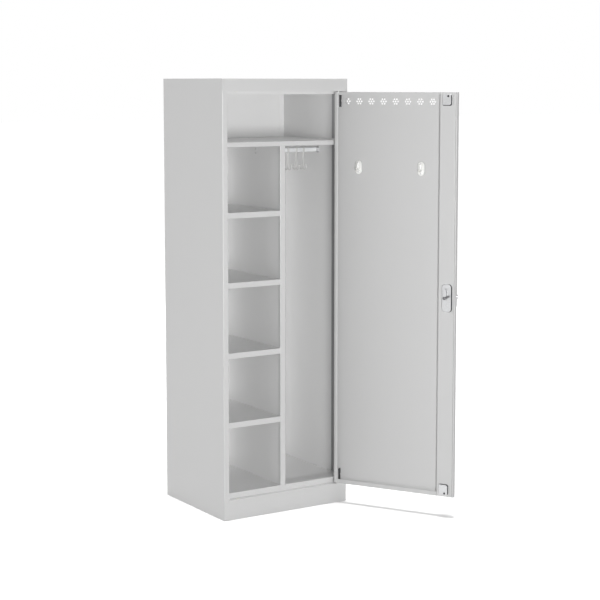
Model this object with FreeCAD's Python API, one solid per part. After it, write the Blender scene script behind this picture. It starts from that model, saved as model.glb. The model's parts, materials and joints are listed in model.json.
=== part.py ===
import FreeCAD, Part
import math
import os
from FreeCAD import Vector

# Steel wardrobe locker with one wide inset door, opened wide for a view of the inside.
# Millimetres, Z up. The origin is the centre of the cabinet's footprint, on the floor,
# the front faces -Y and +X is on the right of someone who looks at the front.

# --- cabinet -------------------------------------------------------------------
WIDTH = 600.0
DEPTH = 500.0
HEIGHT = 1800.0
SHEET = 1.0             # every folded panel
BEND = 1.6              # bend radius of the panels, on the middle of the sheet
STILE = 24.0            # width of the front upright on each side
REBATE = 28.0           # how far the door stop lies behind the front
STOP_LIP = 12.0         # how far the door stop reaches into the opening
REAR_FLANGE = 25.0      # flange of a side panel in front of the back panel
FASCIA = 52.0           # band above the door
PLINTH = 82.0           # band below the door
FLOOR_RISE = 23.0       # compartment floor above the plinth
RING_FLANGE = 30.0      # bearing flange of the plinth on the ground
LEDGE = 50.0            # depth of the plinth's top ledge

# --- compartments --------------------------------------------------------------
PARTITION_FRONT = 25.0  # front fold of the partition
PARTITION_RETURN = 15.0
HAT_SHELF_TOP = 1545.0
HAT_SHELF_LIP = 20.0
SHELF_TOPS = (1261.0, 976.0, 687.0, 399.0)
SHELF_LIP = 24.0
SHELF_RETURN = 10.0     # inward hem of a shelf's lip
SHELF_REAR = 15.0       # rear upstand of a shelf, folded down
FIT = 0.5               # gap where a loose panel stands beside another

CLIP_WIDTH = 16.0
CLIP_REACH = 12.0
CLIP_HEIGHT = 14.0
CLIP_THICK = 1.5
CLIP_INSET = 60.0       # from a shelf's front or rear edge to a clip

RAIL_Z = 1498.0
RAIL_Y = -30.0
RAIL_TALL = 18.0
RAIL_THICK = 8.0
SUPPORT_PLATE = 3.0
SUPPORT_MARGIN = 5.0    # collar round the rail
SUPPORT_DEPTH = 12.0
RAIL_HOOK_X = (145.0, 186.0, 222.0)
RAIL_HOOK_DROP = 76.0   # from the rail's underside to the hook's lowest point
HOOK_BAND = 9.0         # width of a hook's hanger along the rail
HOOK_WALL = 2.5
HOOK_ROD = 2.2          # half the width of a hook's arms
HOOK_KNOB = 1.5         # an arm's end against its width
HOOK_BOWL = 13.0        # radius of a hook's bend
SLIDE_GAP = 0.35        # between hanger and rail

# --- door (drawn closed, then opened) --------------------------------------------
DOOR_GAP = 2.5          # beside the door
DOOR_GAP_Z = 3.0        # above and below the door
DOOR_THICK = 20.0
HINGE_LIP = 16.0
LOCK_LIP = 5.0
TOP_LIP = 12.0
BOTTOM_LIP = 17.0
OPEN_DEG = 120.0
PIVOT_IN = 12.0         # hinge axis from the door's hinge edge
PIVOT_BACK = 7.0        # hinge axis behind the door's front

PIN_RADIUS = 4.0
PIN_RUN = 0.05          # radial running clearance of a hinge pin
PIN_REACH = 8.0         # pin beyond the frame it turns in
PIN_COLLAR = 5.8
PIN_COLLAR_TALL = 2.0
BUSH_WALL = 1.8
BUSH_RIM = 1.0          # a bush's flange beyond its sleeve
BUSH_FLANGE = 1.2
HOUSING_WIDE = 20.5
HOUSING_TALL = 52.0
HOUSING_WAIST = 8.0
HOUSING_BEVEL = 2.0
HOUSING_INSET = 10.0    # from the door's end to the housing

VENT_COUNT = 8
VENT_PITCH = 54.7
VENT_FIRST = 50.2       # from the hinge edge to the first rosette
VENT_DROP = 38.5        # from the door's top edge
VENT_HOLE = 4.0         # radius
VENT_RING = 10.5        # radius of the ring of holes in a rosette

CHANNEL_WIDE = 68.0
CHANNEL_GAP = 1.5       # slit between the channel and the door's lock-side lip
CHANNEL_BEND = 2.2

COAT_HOOK_X = (170.0, -112.0)
COAT_HOOK_Z = 1434.0
HOOK_PLATE_WIDE = 30.0
HOOK_PLATE_TALL = 58.0
HOOK_PLATE_THICK = 5.0
HOOK_PLATE_BEVEL = 1.5
PRONG_WIDE = 15.0
PRONG_REACH = 30.0
PRONG_THICK = 7.0
PRONG_RISE = 20.0

# --- three-point lock ------------------------------------------------------------
SPINDLE_IN = 42.0       # spindle axis from the door's free edge
LOCK_Z = 912.0
SPINDLE_SQUARE = 8.0
PINION_TEETH = 16
MODULE = 1.5
PRESSURE_DEG = 20.0
BACKLASH = 0.3          # taken from the tooth width of each rack and of the pinion
ROOT_GAP = 0.4
PINION_THICK = 6.0
TURN_DEG = 90.0
ROD_WIDE = 8.0
ROD_THICK = 6.0
ROD_GAP = 0.8           # between a rod's stem and the pinion's side of the rack
ROD_TIP = 4.0           # radius of a rod's round end
TIP_BEVEL = 1.2
ROD_HOLE = 4.5          # radius of the holes a rod's end passes
ROD_END_IN = 2.0        # how far a drawn-in rod ends inside the door
TIP_LONG = 34.0
RACK_TALL = 76.0
FOOT_TALL = 15.0
FOOT_RISE = 31.0        # from the spindle's height to a rod's foot
SOCKET_WALL = 2.0
SOCKET_RIM = 2.0        # a socket's flange beyond its sleeve
SOCKET_DEEP = 24.0

GUIDE_WIDE = 42.0
GUIDE_TALL = 46.0
GUIDE_THICK = 6.0
GUIDE_INSET = 8.0       # from the door's end to the guide
GUIDE_ROUND = 9.0
NOSE_RADIUS = 4.5
NOSE_RISE = 1.5
NOSE_IN = 7.2           # from the guide's outer end to the middle of the plug

CASE_WIDE = 44.0
CASE_TALL = 114.0
CASE_THICK = 7.0
CASE_ROUND = 14.0
CASE_SHIFT = 8.0        # case centre from the spindle, towards the free edge
CASE_EDGE = 2.0         # bevel of the rims of the case and the guides
CAM_LONG = 38.0
CAM_EAR = 22.0
CAM_WIDE = 14.0
CAM_THICK = 3.0
CAM_GAP = 3.0
CAM_HUB = 2.0           # hub beyond half the arm's width
EAR_DEG = 112.0         # from the cam's long arm to its short ear
NUT_RADIUS = 7.0
NUT_TALL = 5.0
NUT_BEVEL = 2.0

ROSETTE_RADIUS = 24.0
ROSETTE_THICK = 4.0
HANDLE_NECK = 9.0
NECK_RUN = 0.1
HANDLE_STAND = 18.0
WING_LONG = 72.0
WING_WIDE = 26.0
WING_THICK = 14.0
WING_BEVEL = 3.0
CYLINDER_RADIUS = 8.0
CYLINDER_RUN = 0.05
CYLINDER_DEEP = 10.0
CYLINDER_PROUD = 1.5
KEY_SLOT_LONG = 8.0
KEY_SLOT_WIDE = 1.6

BUFFER_RADIUS = 4.0
BUFFER_GAP = 0.5
BUFFER_Z = (300.0, 700.0, 1150.0, 1550.0)

SCREW_HEAD = 3.6
SCREW_RISE = 1.4

# flats that stand for rounds without a running fit
CORNER_FLATS = 4        # per quarter turn of a plate's corner
OVAL_FLATS = 8          # per half turn of the rail's outline
SMALL_SIDES = 8         # screw heads, buffers and vent holes
SLEEVE_SIDES = 16       # sleeves and flanges

# --- worked out --------------------------------------------------------------------
FRONT = -DEPTH / 2
REAR = DEPTH / 2
SIDE = WIDTH / 2
STOP_Y = FRONT + REBATE
OPENING = SIDE - STILE
STOP_X = OPENING - STOP_LIP
FASCIA_Z = HEIGHT - FASCIA
FLOOR_Z = PLINTH + FLOOR_RISE
WALL = SIDE - SHEET
BACK_IN = REAR - 2 * SHEET      # front of the side panels' rear flanges
CORNER_IN = BACK_IN - BEND      # clear of the round inside of the rear corner

DOOR_X = OPENING - DOOR_GAP
DOOR_LOW = PLINTH + DOOR_GAP_Z
DOOR_TOP = FASCIA_Z - DOOR_GAP_Z
DOOR_FRONT = FRONT
DOOR_IN = DOOR_FRONT + SHEET    # inner face of the door's skin
DOOR_LIP_Y = DOOR_FRONT + DOOR_THICK
PIVOT_X = DOOR_X - PIVOT_IN
PIVOT_Y = DOOR_FRONT + PIVOT_BACK

PITCH_RADIUS = MODULE * PINION_TEETH / 2
SPINDLE_X = -DOOR_X + SPINDLE_IN
CHANNEL_OUT = -DOOR_X + LOCK_LIP + CHANNEL_GAP
CHANNEL_IN = CHANNEL_OUT + CHANNEL_WIDE
ROD_Y = (DOOR_IN + DOOR_LIP_Y - SHEET) / 2
ROD_X = SPINDLE_X
UP = Vector(0, 0, 1)
INWARD = Vector(0, 1, 0)
TO_RIGHT = Vector(1, 0, 0)


def box(x0, x1, y0, y1, z0, z1):
    """A block between two corners."""
    return Part.makeBox(x1 - x0, y1 - y0, z1 - z0, Vector(x0, y0, z0))


def rod(radius, start, direction, length):
    """A round bar."""
    return Part.makeCylinder(radius, length, start, direction)


def prism(points, along):
    """A solid from a closed outline of flat sides."""
    return Part.Face(Part.makePolygon(points + points[:1])).extrude(along)


def facet_bar(radius, start, direction, length, sides=12):
    """A small bar or hole cutter with flat sides, for what repeats; radius is to a corner."""
    across = TO_RIGHT if abs(direction.x) < 0.5 else UP
    third = direction.cross(across)
    turn = [2 * math.pi * (i + 0.5) / sides for i in range(sides)]
    points = [start + across * radius * math.cos(a) + third * radius * math.sin(a) for a in turn]
    return prism(points, direction * length)


def sweep(centre, radius, start_deg, end_deg, steps):
    """Points along an arc in section coordinates, both ends included."""
    angles = [math.radians(start_deg + (end_deg - start_deg) * i / steps) for i in range(steps + 1)]
    return [(centre[0] + radius * math.cos(a), centre[1] + radius * math.sin(a)) for a in angles]


def joined(shapes):
    """One solid from shapes that meet."""
    first = shapes[0]
    return first.multiFuse(shapes[1:]).removeSplitter()


def save(name, shape):
    """Write one sub-part, as a plain solid or a compound of plain solids."""
    shape = shape.removeSplitter()
    solids = shape.Solids
    kept = solids[0] if len(solids) == 1 else Part.makeCompound(solids)
    kept.exportStep("parts/%s.step" % name)


def opened(shape):
    """A piece of the closed door, turned to where the open door holds it."""
    turned = shape.copy()
    turned.rotate(Vector(PIVOT_X, PIVOT_Y, 0), UP, OPEN_DEG)
    return turned


def plan(u, v):
    """Section coordinates seen from above."""
    return Vector(u, v, 0)


def flank(u, v):
    """Section coordinates seen from the side: u runs back, v runs up."""
    return Vector(0, u, v)


def elevation(u, v):
    """Section coordinates seen from the front: u runs right, v runs up."""
    return Vector(u, 0, v)


def offset_side(path, distance, radius, space):
    """One face of a folded sheet, as edges: the middle line moved left, each bend in two flats."""
    points = []
    arcs = []
    last = len(path) - 1
    for i, (u, v) in enumerate(path):
        if 0 < i < last:
            a = Vector(u - path[i - 1][0], v - path[i - 1][1], 0).normalize()
            b = Vector(path[i + 1][0] - u, path[i + 1][1] - v, 0).normalize()
            turn = a.x * b.y - a.y * b.x
            half = math.acos(max(-1.0, min(1.0, a.dot(b)))) / 2
            reach = radius * math.tan(half)
            side = 1.0 if turn > 0 else -1.0
            centre = Vector(u, v, 0) - a * reach + Vector(-a.y, a.x, 0) * radius * side
            r = radius - distance * side
            start = centre - Vector(-a.y, a.x, 0) * r * side
            end = centre - Vector(-b.y, b.x, 0) * r * side
            middle = (start + end) * 0.5 - centre
            arcs.append((start, centre + middle.normalize() * r, end))
        else:
            step = (path[1][0] - u, path[1][1] - v) if i == 0 else (u - path[-2][0], v - path[-2][1])
            d = Vector(step[0], step[1], 0).normalize()
            points.append(Vector(u, v, 0) + Vector(-d.y, d.x, 0) * distance)
    edges = []
    here = points[0]
    for start, middle, end in arcs:
        edges.append(Part.makeLine(space(here.x, here.y), space(start.x, start.y)))
        edges.append(Part.makeLine(space(start.x, start.y), space(middle.x, middle.y)))
        edges.append(Part.makeLine(space(middle.x, middle.y), space(end.x, end.y)))
        here = end
    edges.append(Part.makeLine(space(here.x, here.y), space(points[1].x, points[1].y)))
    return edges


def folded(path, space, direction, radius=BEND):
    """A folded sheet: a middle line with rounded bends, given its thickness and extruded."""
    left = offset_side(path, SHEET / 2, radius, space)
    right = offset_side(path, -SHEET / 2, radius, space)
    caps = [Part.makeLine(left[0].Vertexes[0].Point, right[0].Vertexes[0].Point),
            Part.makeLine(left[-1].Vertexes[-1].Point, right[-1].Vertexes[-1].Point)]
    wire = Part.Wire(Part.__sortEdges__(left + right + caps))
    return Part.Face(wire).extrude(direction)


def rounded_plate(wide, tall, thick, radius, x, y, z, bevel):
    """An upright plate with round corners and a bevelled rim, centred on x and z, from y inwards."""
    outline = []
    quarters = ((1, 1), (-1, 1), (-1, -1), (1, -1))
    for i, (across, rise) in enumerate(quarters):
        centre = (x + across * (wide / 2 - radius), z + rise * (tall / 2 - radius))
        outline += sweep(centre, radius, 90 * i, 90 * i + 90, CORNER_FLATS)
    plate = prism([Vector(u, y, v) for u, v in outline], INWARD * thick)
    rim = [e for e in plate.Edges if abs(e.BoundBox.YMin - (y + thick)) < 1e-6
           and abs(e.BoundBox.YMax - (y + thick)) < 1e-6]
    return plate.makeChamfer(bevel, rim)


def screws(places, y):
    """Screw heads on upright faces that look inwards, at x and z places."""
    heads = [facet_bar(SCREW_HEAD, Vector(x, y, z), INWARD, SCREW_RISE, SMALL_SIDES) for x, z in places]
    return Part.makeCompound(heads)


# --- cabinet pieces ------------------------------------------------------------------
def side_panel(side):
    """Side sheet with rear flange, front stile, rebate and door stop, all one fold."""
    mid = SHEET / 2
    wall = [(SIDE - REAR_FLANGE, REAR - SHEET - mid),
            (SIDE - mid, REAR - SHEET - mid),
            (SIDE - mid, FRONT + mid),
            (OPENING + mid, FRONT + mid),
            (OPENING + mid, STOP_Y + mid),
            (STOP_X, STOP_Y + mid)]
    tall = folded([(side * u, v) for u, v in wall], plan, UP * (FASCIA_Z - PLINTH))
    tall.translate(UP * PLINTH)
    plain = [(side * u, v) for u, v in wall[:2]] + [(side * (SIDE - mid), FRONT + SHEET)]
    ends = folded(plain, plan, UP * (HEIGHT - SHEET))
    return joined([ends, tall])


def back_panel():
    """Flat back, outside the side panels' rear flanges."""
    return box(-SIDE, SIDE, REAR - SHEET, REAR, 0, HEIGHT - SHEET)


def top_panel():
    """Roof, fascia, the return over the door and the top door stop."""
    mid = SHEET / 2
    skin = folded([(REAR - SHEET, HEIGHT - mid), (FRONT + mid, HEIGHT - mid),
                   (FRONT + mid, FASCIA_Z)], flank, TO_RIGHT * WIDTH)
    skin.translate(TO_RIGHT * -SIDE)
    rear = box(-SIDE + REAR_FLANGE, SIDE - REAR_FLANGE, BACK_IN, REAR - SHEET,
               HEIGHT - REAR_FLANGE, HEIGHT - SHEET)
    over = box(-WALL, WALL, FRONT + mid, STOP_Y + SHEET, FASCIA_Z, FASCIA_Z + SHEET)
    stop = box(-STOP_X, STOP_X, STOP_Y, STOP_Y + SHEET, FASCIA_Z - STOP_LIP, FASCIA_Z + SHEET)
    panel = joined([skin, rear, over, stop])
    hinge = facet_bar(PIN_RADIUS + PIN_RUN + BUSH_WALL, Vector(PIVOT_X, PIVOT_Y, FASCIA_Z - 1),
                      UP, SHEET + 2, SLEEVE_SIDES)
    bolt = facet_bar(ROD_HOLE + SOCKET_WALL, Vector(ROD_X, ROD_Y, FASCIA_Z - 1), UP, SHEET + 2,
                     SLEEVE_SIDES)
    return panel.cut(hinge).cut(bolt)


def plinth():
    """Welded base ring: front board, ledge under the door, inner boards, bearing flange."""
    board = box(-SIDE, SIDE, FRONT, FRONT + SHEET, 0, PLINTH)
    ledge = box(-WALL, WALL, FRONT, FRONT + LEDGE, PLINTH - SHEET, PLINTH)
    flange = box(-WALL, WALL, FRONT, CORNER_IN, 0, SHEET)
    hole = box(-WALL + RING_FLANGE, WALL - RING_FLANGE, FRONT + RING_FLANGE,
               CORNER_IN - RING_FLANGE, -1, SHEET + 1)
    left = box(-WALL, -WALL + SHEET, FRONT, CORNER_IN, 0, PLINTH)
    right = box(WALL - SHEET, WALL, FRONT, CORNER_IN, 0, PLINTH)
    rear = box(-WALL, WALL, CORNER_IN - SHEET, CORNER_IN, 0, PLINTH)
    ring = joined([board, ledge, flange.cut(hole), left, right, rear])
    hinge = facet_bar(PIN_RADIUS + PIN_RUN + BUSH_WALL, Vector(PIVOT_X, PIVOT_Y, PLINTH + 1),
                      -UP, SHEET + 2, SLEEVE_SIDES)
    bolt = facet_bar(ROD_HOLE + SOCKET_WALL, Vector(ROD_X, ROD_Y, PLINTH + 1), -UP, SHEET + 2,
                     SLEEVE_SIDES)
    return ring.cut(hinge).cut(bolt)


def bottom_panel():
    """Compartment floor; its front lip is the bottom door stop."""
    mid = SHEET / 2
    sheet = folded([(STOP_Y + mid, PLINTH), (STOP_Y + mid, FLOOR_Z - mid),
                    (BACK_IN, FLOOR_Z - mid)], flank, TO_RIGHT * 2 * STOP_X)
    sheet.translate(TO_RIGHT * -STOP_X)
    wings = [sheet]
    for side in (-1, 1):
        inner, outer = sorted((side * STOP_X, side * WALL))
        wings.append(box(inner, outer, STOP_Y + SHEET, CORNER_IN, FLOOR_Z - SHEET, FLOOR_Z))
        edge = sorted((side * (WALL - SHEET), side * WALL))
        wings.append(box(edge[0], edge[1], STOP_Y + SHEET, CORNER_IN, PLINTH, FLOOR_Z))
    return joined(wings)


def partition():
    """Upright divider with a hollow front fold, from the floor to the hat shelf."""
    mid = SHEET / 2
    half = PARTITION_FRONT / 2
    low_top = HAT_SHELF_TOP - HAT_SHELF_LIP
    path = [(PARTITION_RETURN - half, REAR - SHEET - mid),
            (mid - half, REAR - SHEET - mid),
            (mid - half, STOP_Y + mid),
            (half - mid, STOP_Y + mid),
            (half - mid, STOP_Y + PARTITION_RETURN)]
    fold = folded(path, plan, UP * (low_top - FLOOR_Z))
    fold.translate(UP * FLOOR_Z)
    web = box(-half, SHEET - half, STOP_Y + 2 * SHELF_RETURN, CORNER_IN - SHEET,
              low_top - FIT, HAT_SHELF_TOP - SHEET)
    return joined([fold, web])


def shelf(left, right, top, lip):
    """A shelf with a hemmed front lip and a rear upstand; notched beside a door stop."""
    mid = SHEET / 2
    low = top - lip
    near_left = max(left, -STOP_X + FIT)
    near_right = min(right, STOP_X - FIT)
    path = [(STOP_Y + SHELF_RETURN, low + mid), (STOP_Y + mid, low + mid),
            (STOP_Y + mid, top - mid), (BACK_IN - mid, top - mid),
            (BACK_IN - mid, top - SHELF_REAR)]
    tray = folded(path, flank, TO_RIGHT * (near_right - near_left))
    tray.translate(TO_RIGHT * near_left)
    pieces = [tray]
    if near_left > left:
        pieces.append(box(left, near_left, STOP_Y + 2 * SHEET, CORNER_IN - mid, top - SHEET, top))
    if near_right < right:
        pieces.append(box(near_right, right, STOP_Y + 2 * SHEET, CORNER_IN - mid, top - SHEET, top))
    return joined(pieces)


def clip(x, side, y, top):
    """An angle clip on an upright face at x; side is the way it stands out."""
    plate = sorted((x, x + side * CLIP_THICK))
    tab = sorted((x, x + side * CLIP_REACH))
    upright = box(plate[0], plate[1], y - CLIP_WIDTH / 2, y + CLIP_WIDTH / 2, top - CLIP_HEIGHT, top)
    seat = box(tab[0], tab[1], y - CLIP_WIDTH / 2, y + CLIP_WIDTH / 2, top - CLIP_THICK, top)
    return joined([upright, seat])


def clips(tops, faces):
    """The clips that carry shelves with these tops, on these upright faces."""
    rows = (STOP_Y + CLIP_INSET, BACK_IN - CLIP_INSET)
    return Part.makeCompound([clip(x, side, y, top - SHEET)
                              for top in tops for x, side in faces for y in rows])


def oval(grow):
    """The rail's oval outline, grown all round, as a face across the rail."""
    r = RAIL_THICK / 2 + grow
    flat = RAIL_TALL / 2 - RAIL_THICK / 2
    outline = sweep((RAIL_Y, RAIL_Z + flat), r, 0, 180, OVAL_FLATS)
    outline += sweep((RAIL_Y, RAIL_Z - flat), r, 180, 360, OVAL_FLATS)
    points = [flank(u, v) for u, v in outline]
    return Part.Face(Part.makePolygon(points + points[:1]))


RAIL_LEFT = SHEET - PARTITION_FRONT / 2     # right face of the partition's web
RAIL_RIGHT = WALL


def clothes_rail():
    """Oval bar between its two supports."""
    bar = oval(0).extrude(TO_RIGHT * (RAIL_RIGHT - RAIL_LEFT - 2 * SUPPORT_PLATE))
    bar.translate(TO_RIGHT * (RAIL_LEFT + SUPPORT_PLATE))
    return bar


def rail_support(x, side):
    """Wall plate with a collar that holds the rail's end; side is the way it faces."""
    plate = oval(SUPPORT_MARGIN).extrude(TO_RIGHT * side * SUPPORT_PLATE)
    collar = oval(HOOK_WALL).extrude(TO_RIGHT * side * SUPPORT_DEPTH)
    bore = oval(0).extrude(TO_RIGHT * side * SUPPORT_DEPTH)
    bore.translate(TO_RIGHT * side * SUPPORT_PLATE)
    support = joined([plate, collar]).cut(bore)
    support.translate(TO_RIGHT * x)
    return support


def rail_screws():
    """Bolt ends that hold the left support, on the partition's other face."""
    left = -PARTITION_FRONT / 2
    places = [RAIL_Z - RAIL_TALL / 2, RAIL_Z + RAIL_TALL / 2]
    return Part.makeCompound([facet_bar(SCREW_HEAD, Vector(left, RAIL_Y, z), -TO_RIGHT, SCREW_RISE * 2,
                                        SMALL_SIDES) for z in places])


def rail_hook(x):
    """Hanger that slides on the rail, with a flat stem and a double bowl below it."""
    ring = oval(SLIDE_GAP + HOOK_WALL).cut(oval(SLIDE_GAP)).extrude(TO_RIGHT * HOOK_BAND)
    ring.translate(TO_RIGHT * (x - HOOK_BAND / 2))
    under = RAIL_Z - RAIL_TALL / 2 - SLIDE_GAP - HOOK_WALL / 2
    lowest = RAIL_Z - RAIL_TALL / 2 - RAIL_HOOK_DROP
    centre = lowest + HOOK_BOWL + HOOK_ROD
    thick = 2 * HOOK_ROD
    left = x - HOOK_ROD
    knob_z = centre + HOOK_BOWL / 2
    pieces = [ring, box(left, left + thick, RAIL_Y - HOOK_ROD, RAIL_Y + HOOK_ROD, centre, under)]
    for side in (-1, 1):
        middle = (RAIL_Y + side * HOOK_BOWL, centre)
        outer = sweep(middle, HOOK_BOWL + HOOK_ROD, 180, 360, OVAL_FLATS)
        inner = sweep(middle, HOOK_BOWL - HOOK_ROD, 360, 180, OVAL_FLATS)
        pieces.append(prism([Vector(left, u, v) for u, v in outer + inner], TO_RIGHT * thick))
        tip = RAIL_Y + side * 2 * HOOK_BOWL
        pieces.append(box(left, left + thick, tip - HOOK_ROD, tip + HOOK_ROD, centre, knob_z))
        pieces.append(facet_bar(HOOK_ROD * HOOK_KNOB, Vector(left, tip, knob_z), TO_RIGHT, thick))
    return joined(pieces)


def hinge_bush(z, way):
    """Flanged nylon bush for a hinge pin; way is +1 at the top, -1 at the bottom."""
    bore = PIN_RADIUS + PIN_RUN
    sleeve = facet_bar(bore + BUSH_WALL, Vector(PIVOT_X, PIVOT_Y, z), UP * way, PIN_REACH,
                       SLEEVE_SIDES)
    flange = facet_bar(bore + BUSH_WALL + BUSH_RIM, Vector(PIVOT_X, PIVOT_Y, z - way * BUSH_FLANGE),
                       UP * way, BUSH_FLANGE, SLEEVE_SIDES)
    hole = rod(bore, Vector(PIVOT_X, PIVOT_Y, z - way * 2 * BUSH_FLANGE), UP * way, 2 * PIN_REACH)
    return joined([sleeve, flange]).cut(hole)


def rod_socket(z, way):
    """Flanged socket that a lock rod's end shoots into."""
    sleeve = facet_bar(ROD_HOLE + SOCKET_WALL, Vector(ROD_X, ROD_Y, z), UP * way, SOCKET_DEEP,
                       SLEEVE_SIDES)
    flange = facet_bar(ROD_HOLE + SOCKET_WALL + SOCKET_RIM,
                       Vector(ROD_X, ROD_Y, z - way * BUSH_FLANGE), UP * way, BUSH_FLANGE,
                       SLEEVE_SIDES)
    hole = rod(ROD_HOLE, Vector(ROD_X, ROD_Y, z - way * 2 * BUSH_FLANGE), UP * way,
               SOCKET_DEEP + 4 * BUSH_FLANGE)
    return joined([sleeve, flange]).cut(hole)


def door_buffers():
    """Rubber buttons on the lock-side door stop."""
    x = -STOP_X - STOP_LIP / 2
    tall = STOP_Y - DOOR_LIP_Y - BUFFER_GAP
    return Part.makeCompound([facet_bar(BUFFER_RADIUS, Vector(x, STOP_Y, z), -INWARD, tall, SMALL_SIDES)
                              for z in BUFFER_Z])


# --- door pieces ---------------------------------------------------------------------
def door_panel():
    """Door pan: skin, four flanges, inward lips, vent rosettes and pin and rod holes."""
    mid = SHEET / 2
    path = [(DOOR_X - HINGE_LIP, DOOR_LIP_Y - mid), (DOOR_X - mid, DOOR_LIP_Y - mid),
            (DOOR_X - mid, DOOR_FRONT + mid), (-DOOR_X + mid, DOOR_FRONT + mid),
            (-DOOR_X + mid, DOOR_LIP_Y - mid), (-DOOR_X + LOCK_LIP, DOOR_LIP_Y - mid)]
    pan = folded(path, plan, UP * (DOOR_TOP - DOOR_LOW))
    pan.translate(UP * DOOR_LOW)
    pieces = [pan]
    lip_left = CHANNEL_IN + FIT
    for z, way, lip in ((DOOR_TOP, -1, TOP_LIP), (DOOR_LOW, 1, BOTTOM_LIP)):
        flange = sorted((z, z + way * SHEET))
        fall = sorted((z, z + way * lip))
        pieces.append(box(-DOOR_X + mid, DOOR_X - mid, DOOR_FRONT + mid, DOOR_LIP_Y - mid,
                          flange[0], flange[1]))
        pieces.append(box(lip_left, DOOR_X - mid, DOOR_LIP_Y - SHEET, DOOR_LIP_Y, fall[0], fall[1]))
    panel = joined(pieces)
    tools = []
    for i in range(VENT_COUNT):
        x = DOOR_X - VENT_FIRST - i * VENT_PITCH
        z = DOOR_TOP - VENT_DROP
        spots = [(0.0, 0.0)] + [(VENT_RING * math.cos(math.radians(60 * k)),
                                 VENT_RING * math.sin(math.radians(60 * k))) for k in range(6)]
        tools += [facet_bar(VENT_HOLE, Vector(x + du, DOOR_FRONT - 1, z + dv), INWARD, SHEET + 2,
                            SMALL_SIDES)
                  for du, dv in spots]
    tools.append(rod(HANDLE_NECK + NECK_RUN, Vector(SPINDLE_X, DOOR_FRONT - 1, LOCK_Z), INWARD, SHEET + 2))
    for z in (DOOR_TOP, DOOR_LOW):
        tools.append(rod(PIN_RADIUS + 2 * PIN_RUN, Vector(PIVOT_X, PIVOT_Y, z - 2), UP, 4))
        tools.append(rod(ROD_HOLE, Vector(ROD_X, ROD_Y, z - 2), UP, 4))
    return panel.cut(Part.makeCompound(tools))


def lock_channel():
    """Full-height channel that covers the lock rods and stiffens the door's free side."""
    mid = SHEET / 2
    path = [(CHANNEL_IN - mid, DOOR_IN), (CHANNEL_IN - mid, DOOR_LIP_Y - mid),
            (CHANNEL_OUT + mid, DOOR_LIP_Y - mid), (CHANNEL_OUT + mid, DOOR_IN)]
    channel = folded(path, plan, UP * (DOOR_TOP - DOOR_LOW - 2 * SHEET), CHANNEL_BEND)
    channel.translate(UP * (DOOR_LOW + SHEET))
    hole = rod(SPINDLE_SQUARE, Vector(SPINDLE_X, DOOR_IN, LOCK_Z), INWARD, DOOR_THICK)
    return channel.cut(hole)


def housing_span(z, way):
    """Lowest and highest level of the hinge housing at one end of the door."""
    start = z + way * HOUSING_INSET
    return sorted((start, start + way * HOUSING_TALL))


def hinge_housing(z, way):
    """Moulded block in the corner of the pan that carries a hinge pin."""
    low, high = housing_span(z, way)
    right = DOOR_X - SHEET - BEND
    left = right - HOUSING_WIDE
    block = box(left, right, DOOR_IN, DOOR_LIP_Y - SHEET, low, high)
    ends = [e for e in block.Edges if abs(e.BoundBox.XMin - left) < 1e-6
            and abs(e.BoundBox.XMax - left) < 1e-6 and e.BoundBox.YLength > 1]
    block = block.makeChamfer(HOUSING_BEVEL, ends)
    middle = (low + high) / 2
    waist = box(left - 1, left + 3, DOOR_IN - 1, DOOR_LIP_Y, middle - HOUSING_WAIST / 2,
                middle + HOUSING_WAIST / 2)
    bore = rod(PIN_RADIUS, Vector(PIVOT_X, PIVOT_Y, low - 1), UP, HOUSING_TALL + 2)
    return block.cut(waist).cut(bore)


def hinge_pin(z, way, frame_z):
    """Steel pin with a collar that rests on its housing; it turns in the frame's bush."""
    low, high = housing_span(z, way)
    near, far = (low, high) if way > 0 else (high, low)
    end = frame_z - way * PIN_REACH
    pin = rod(PIN_RADIUS, Vector(PIVOT_X, PIVOT_Y, min(end, far)), UP, abs(end - far))
    collar = facet_bar(PIN_COLLAR, Vector(PIVOT_X, PIVOT_Y, near), UP * -way, PIN_COLLAR_TALL,
                       SLEEVE_SIDES)
    return joined([pin, collar])


def coat_hook(x):
    """Moulded plastic coat hook: oval back plate and an upturned prong."""
    plate = rounded_plate(HOOK_PLATE_WIDE, HOOK_PLATE_TALL, HOOK_PLATE_THICK,
                          HOOK_PLATE_WIDE / 2 - HOOK_PLATE_BEVEL, x, DOOR_IN, COAT_HOOK_Z,
                          HOOK_PLATE_BEVEL)
    y = DOOR_IN + HOOK_PLATE_THICK / 2
    z = COAT_HOOK_Z - HOOK_PLATE_TALL / 8
    far = DOOR_IN + PRONG_REACH
    bend = (far - PRONG_THICK, z + PRONG_THICK)
    outline = [(y, z), (y, z - PRONG_THICK)]
    outline += sweep(bend, 2 * PRONG_THICK, 270, 360, CORNER_FLATS)
    outline += sweep((far + PRONG_THICK / 2, z + PRONG_RISE), PRONG_THICK / 2, 0, 180, CORNER_FLATS)
    outline += sweep(bend, PRONG_THICK, 360, 270, CORNER_FLATS)
    prong = prism([flank(u, v) for u, v in outline], TO_RIGHT * PRONG_WIDE)
    prong.translate(TO_RIGHT * (x - PRONG_WIDE / 2))
    return joined([plate, prong])


def rod_guide(z, way):
    """Plate with round corners over a lock rod's end."""
    middle = z + way * (GUIDE_INSET + GUIDE_TALL / 2)
    return rounded_plate(GUIDE_WIDE, GUIDE_TALL, GUIDE_THICK, GUIDE_ROUND,
                         ROD_X, DOOR_LIP_Y, middle, CASE_EDGE)


def guide_nose(z, way):
    """Black plug in the outer end of a guide plate."""
    spot = z + way * (GUIDE_INSET + NOSE_IN)
    return facet_bar(NOSE_RADIUS, Vector(ROD_X - GUIDE_WIDE / 8, DOOR_LIP_Y + GUIDE_THICK, spot),
                     INWARD, NOSE_RISE)


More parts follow.
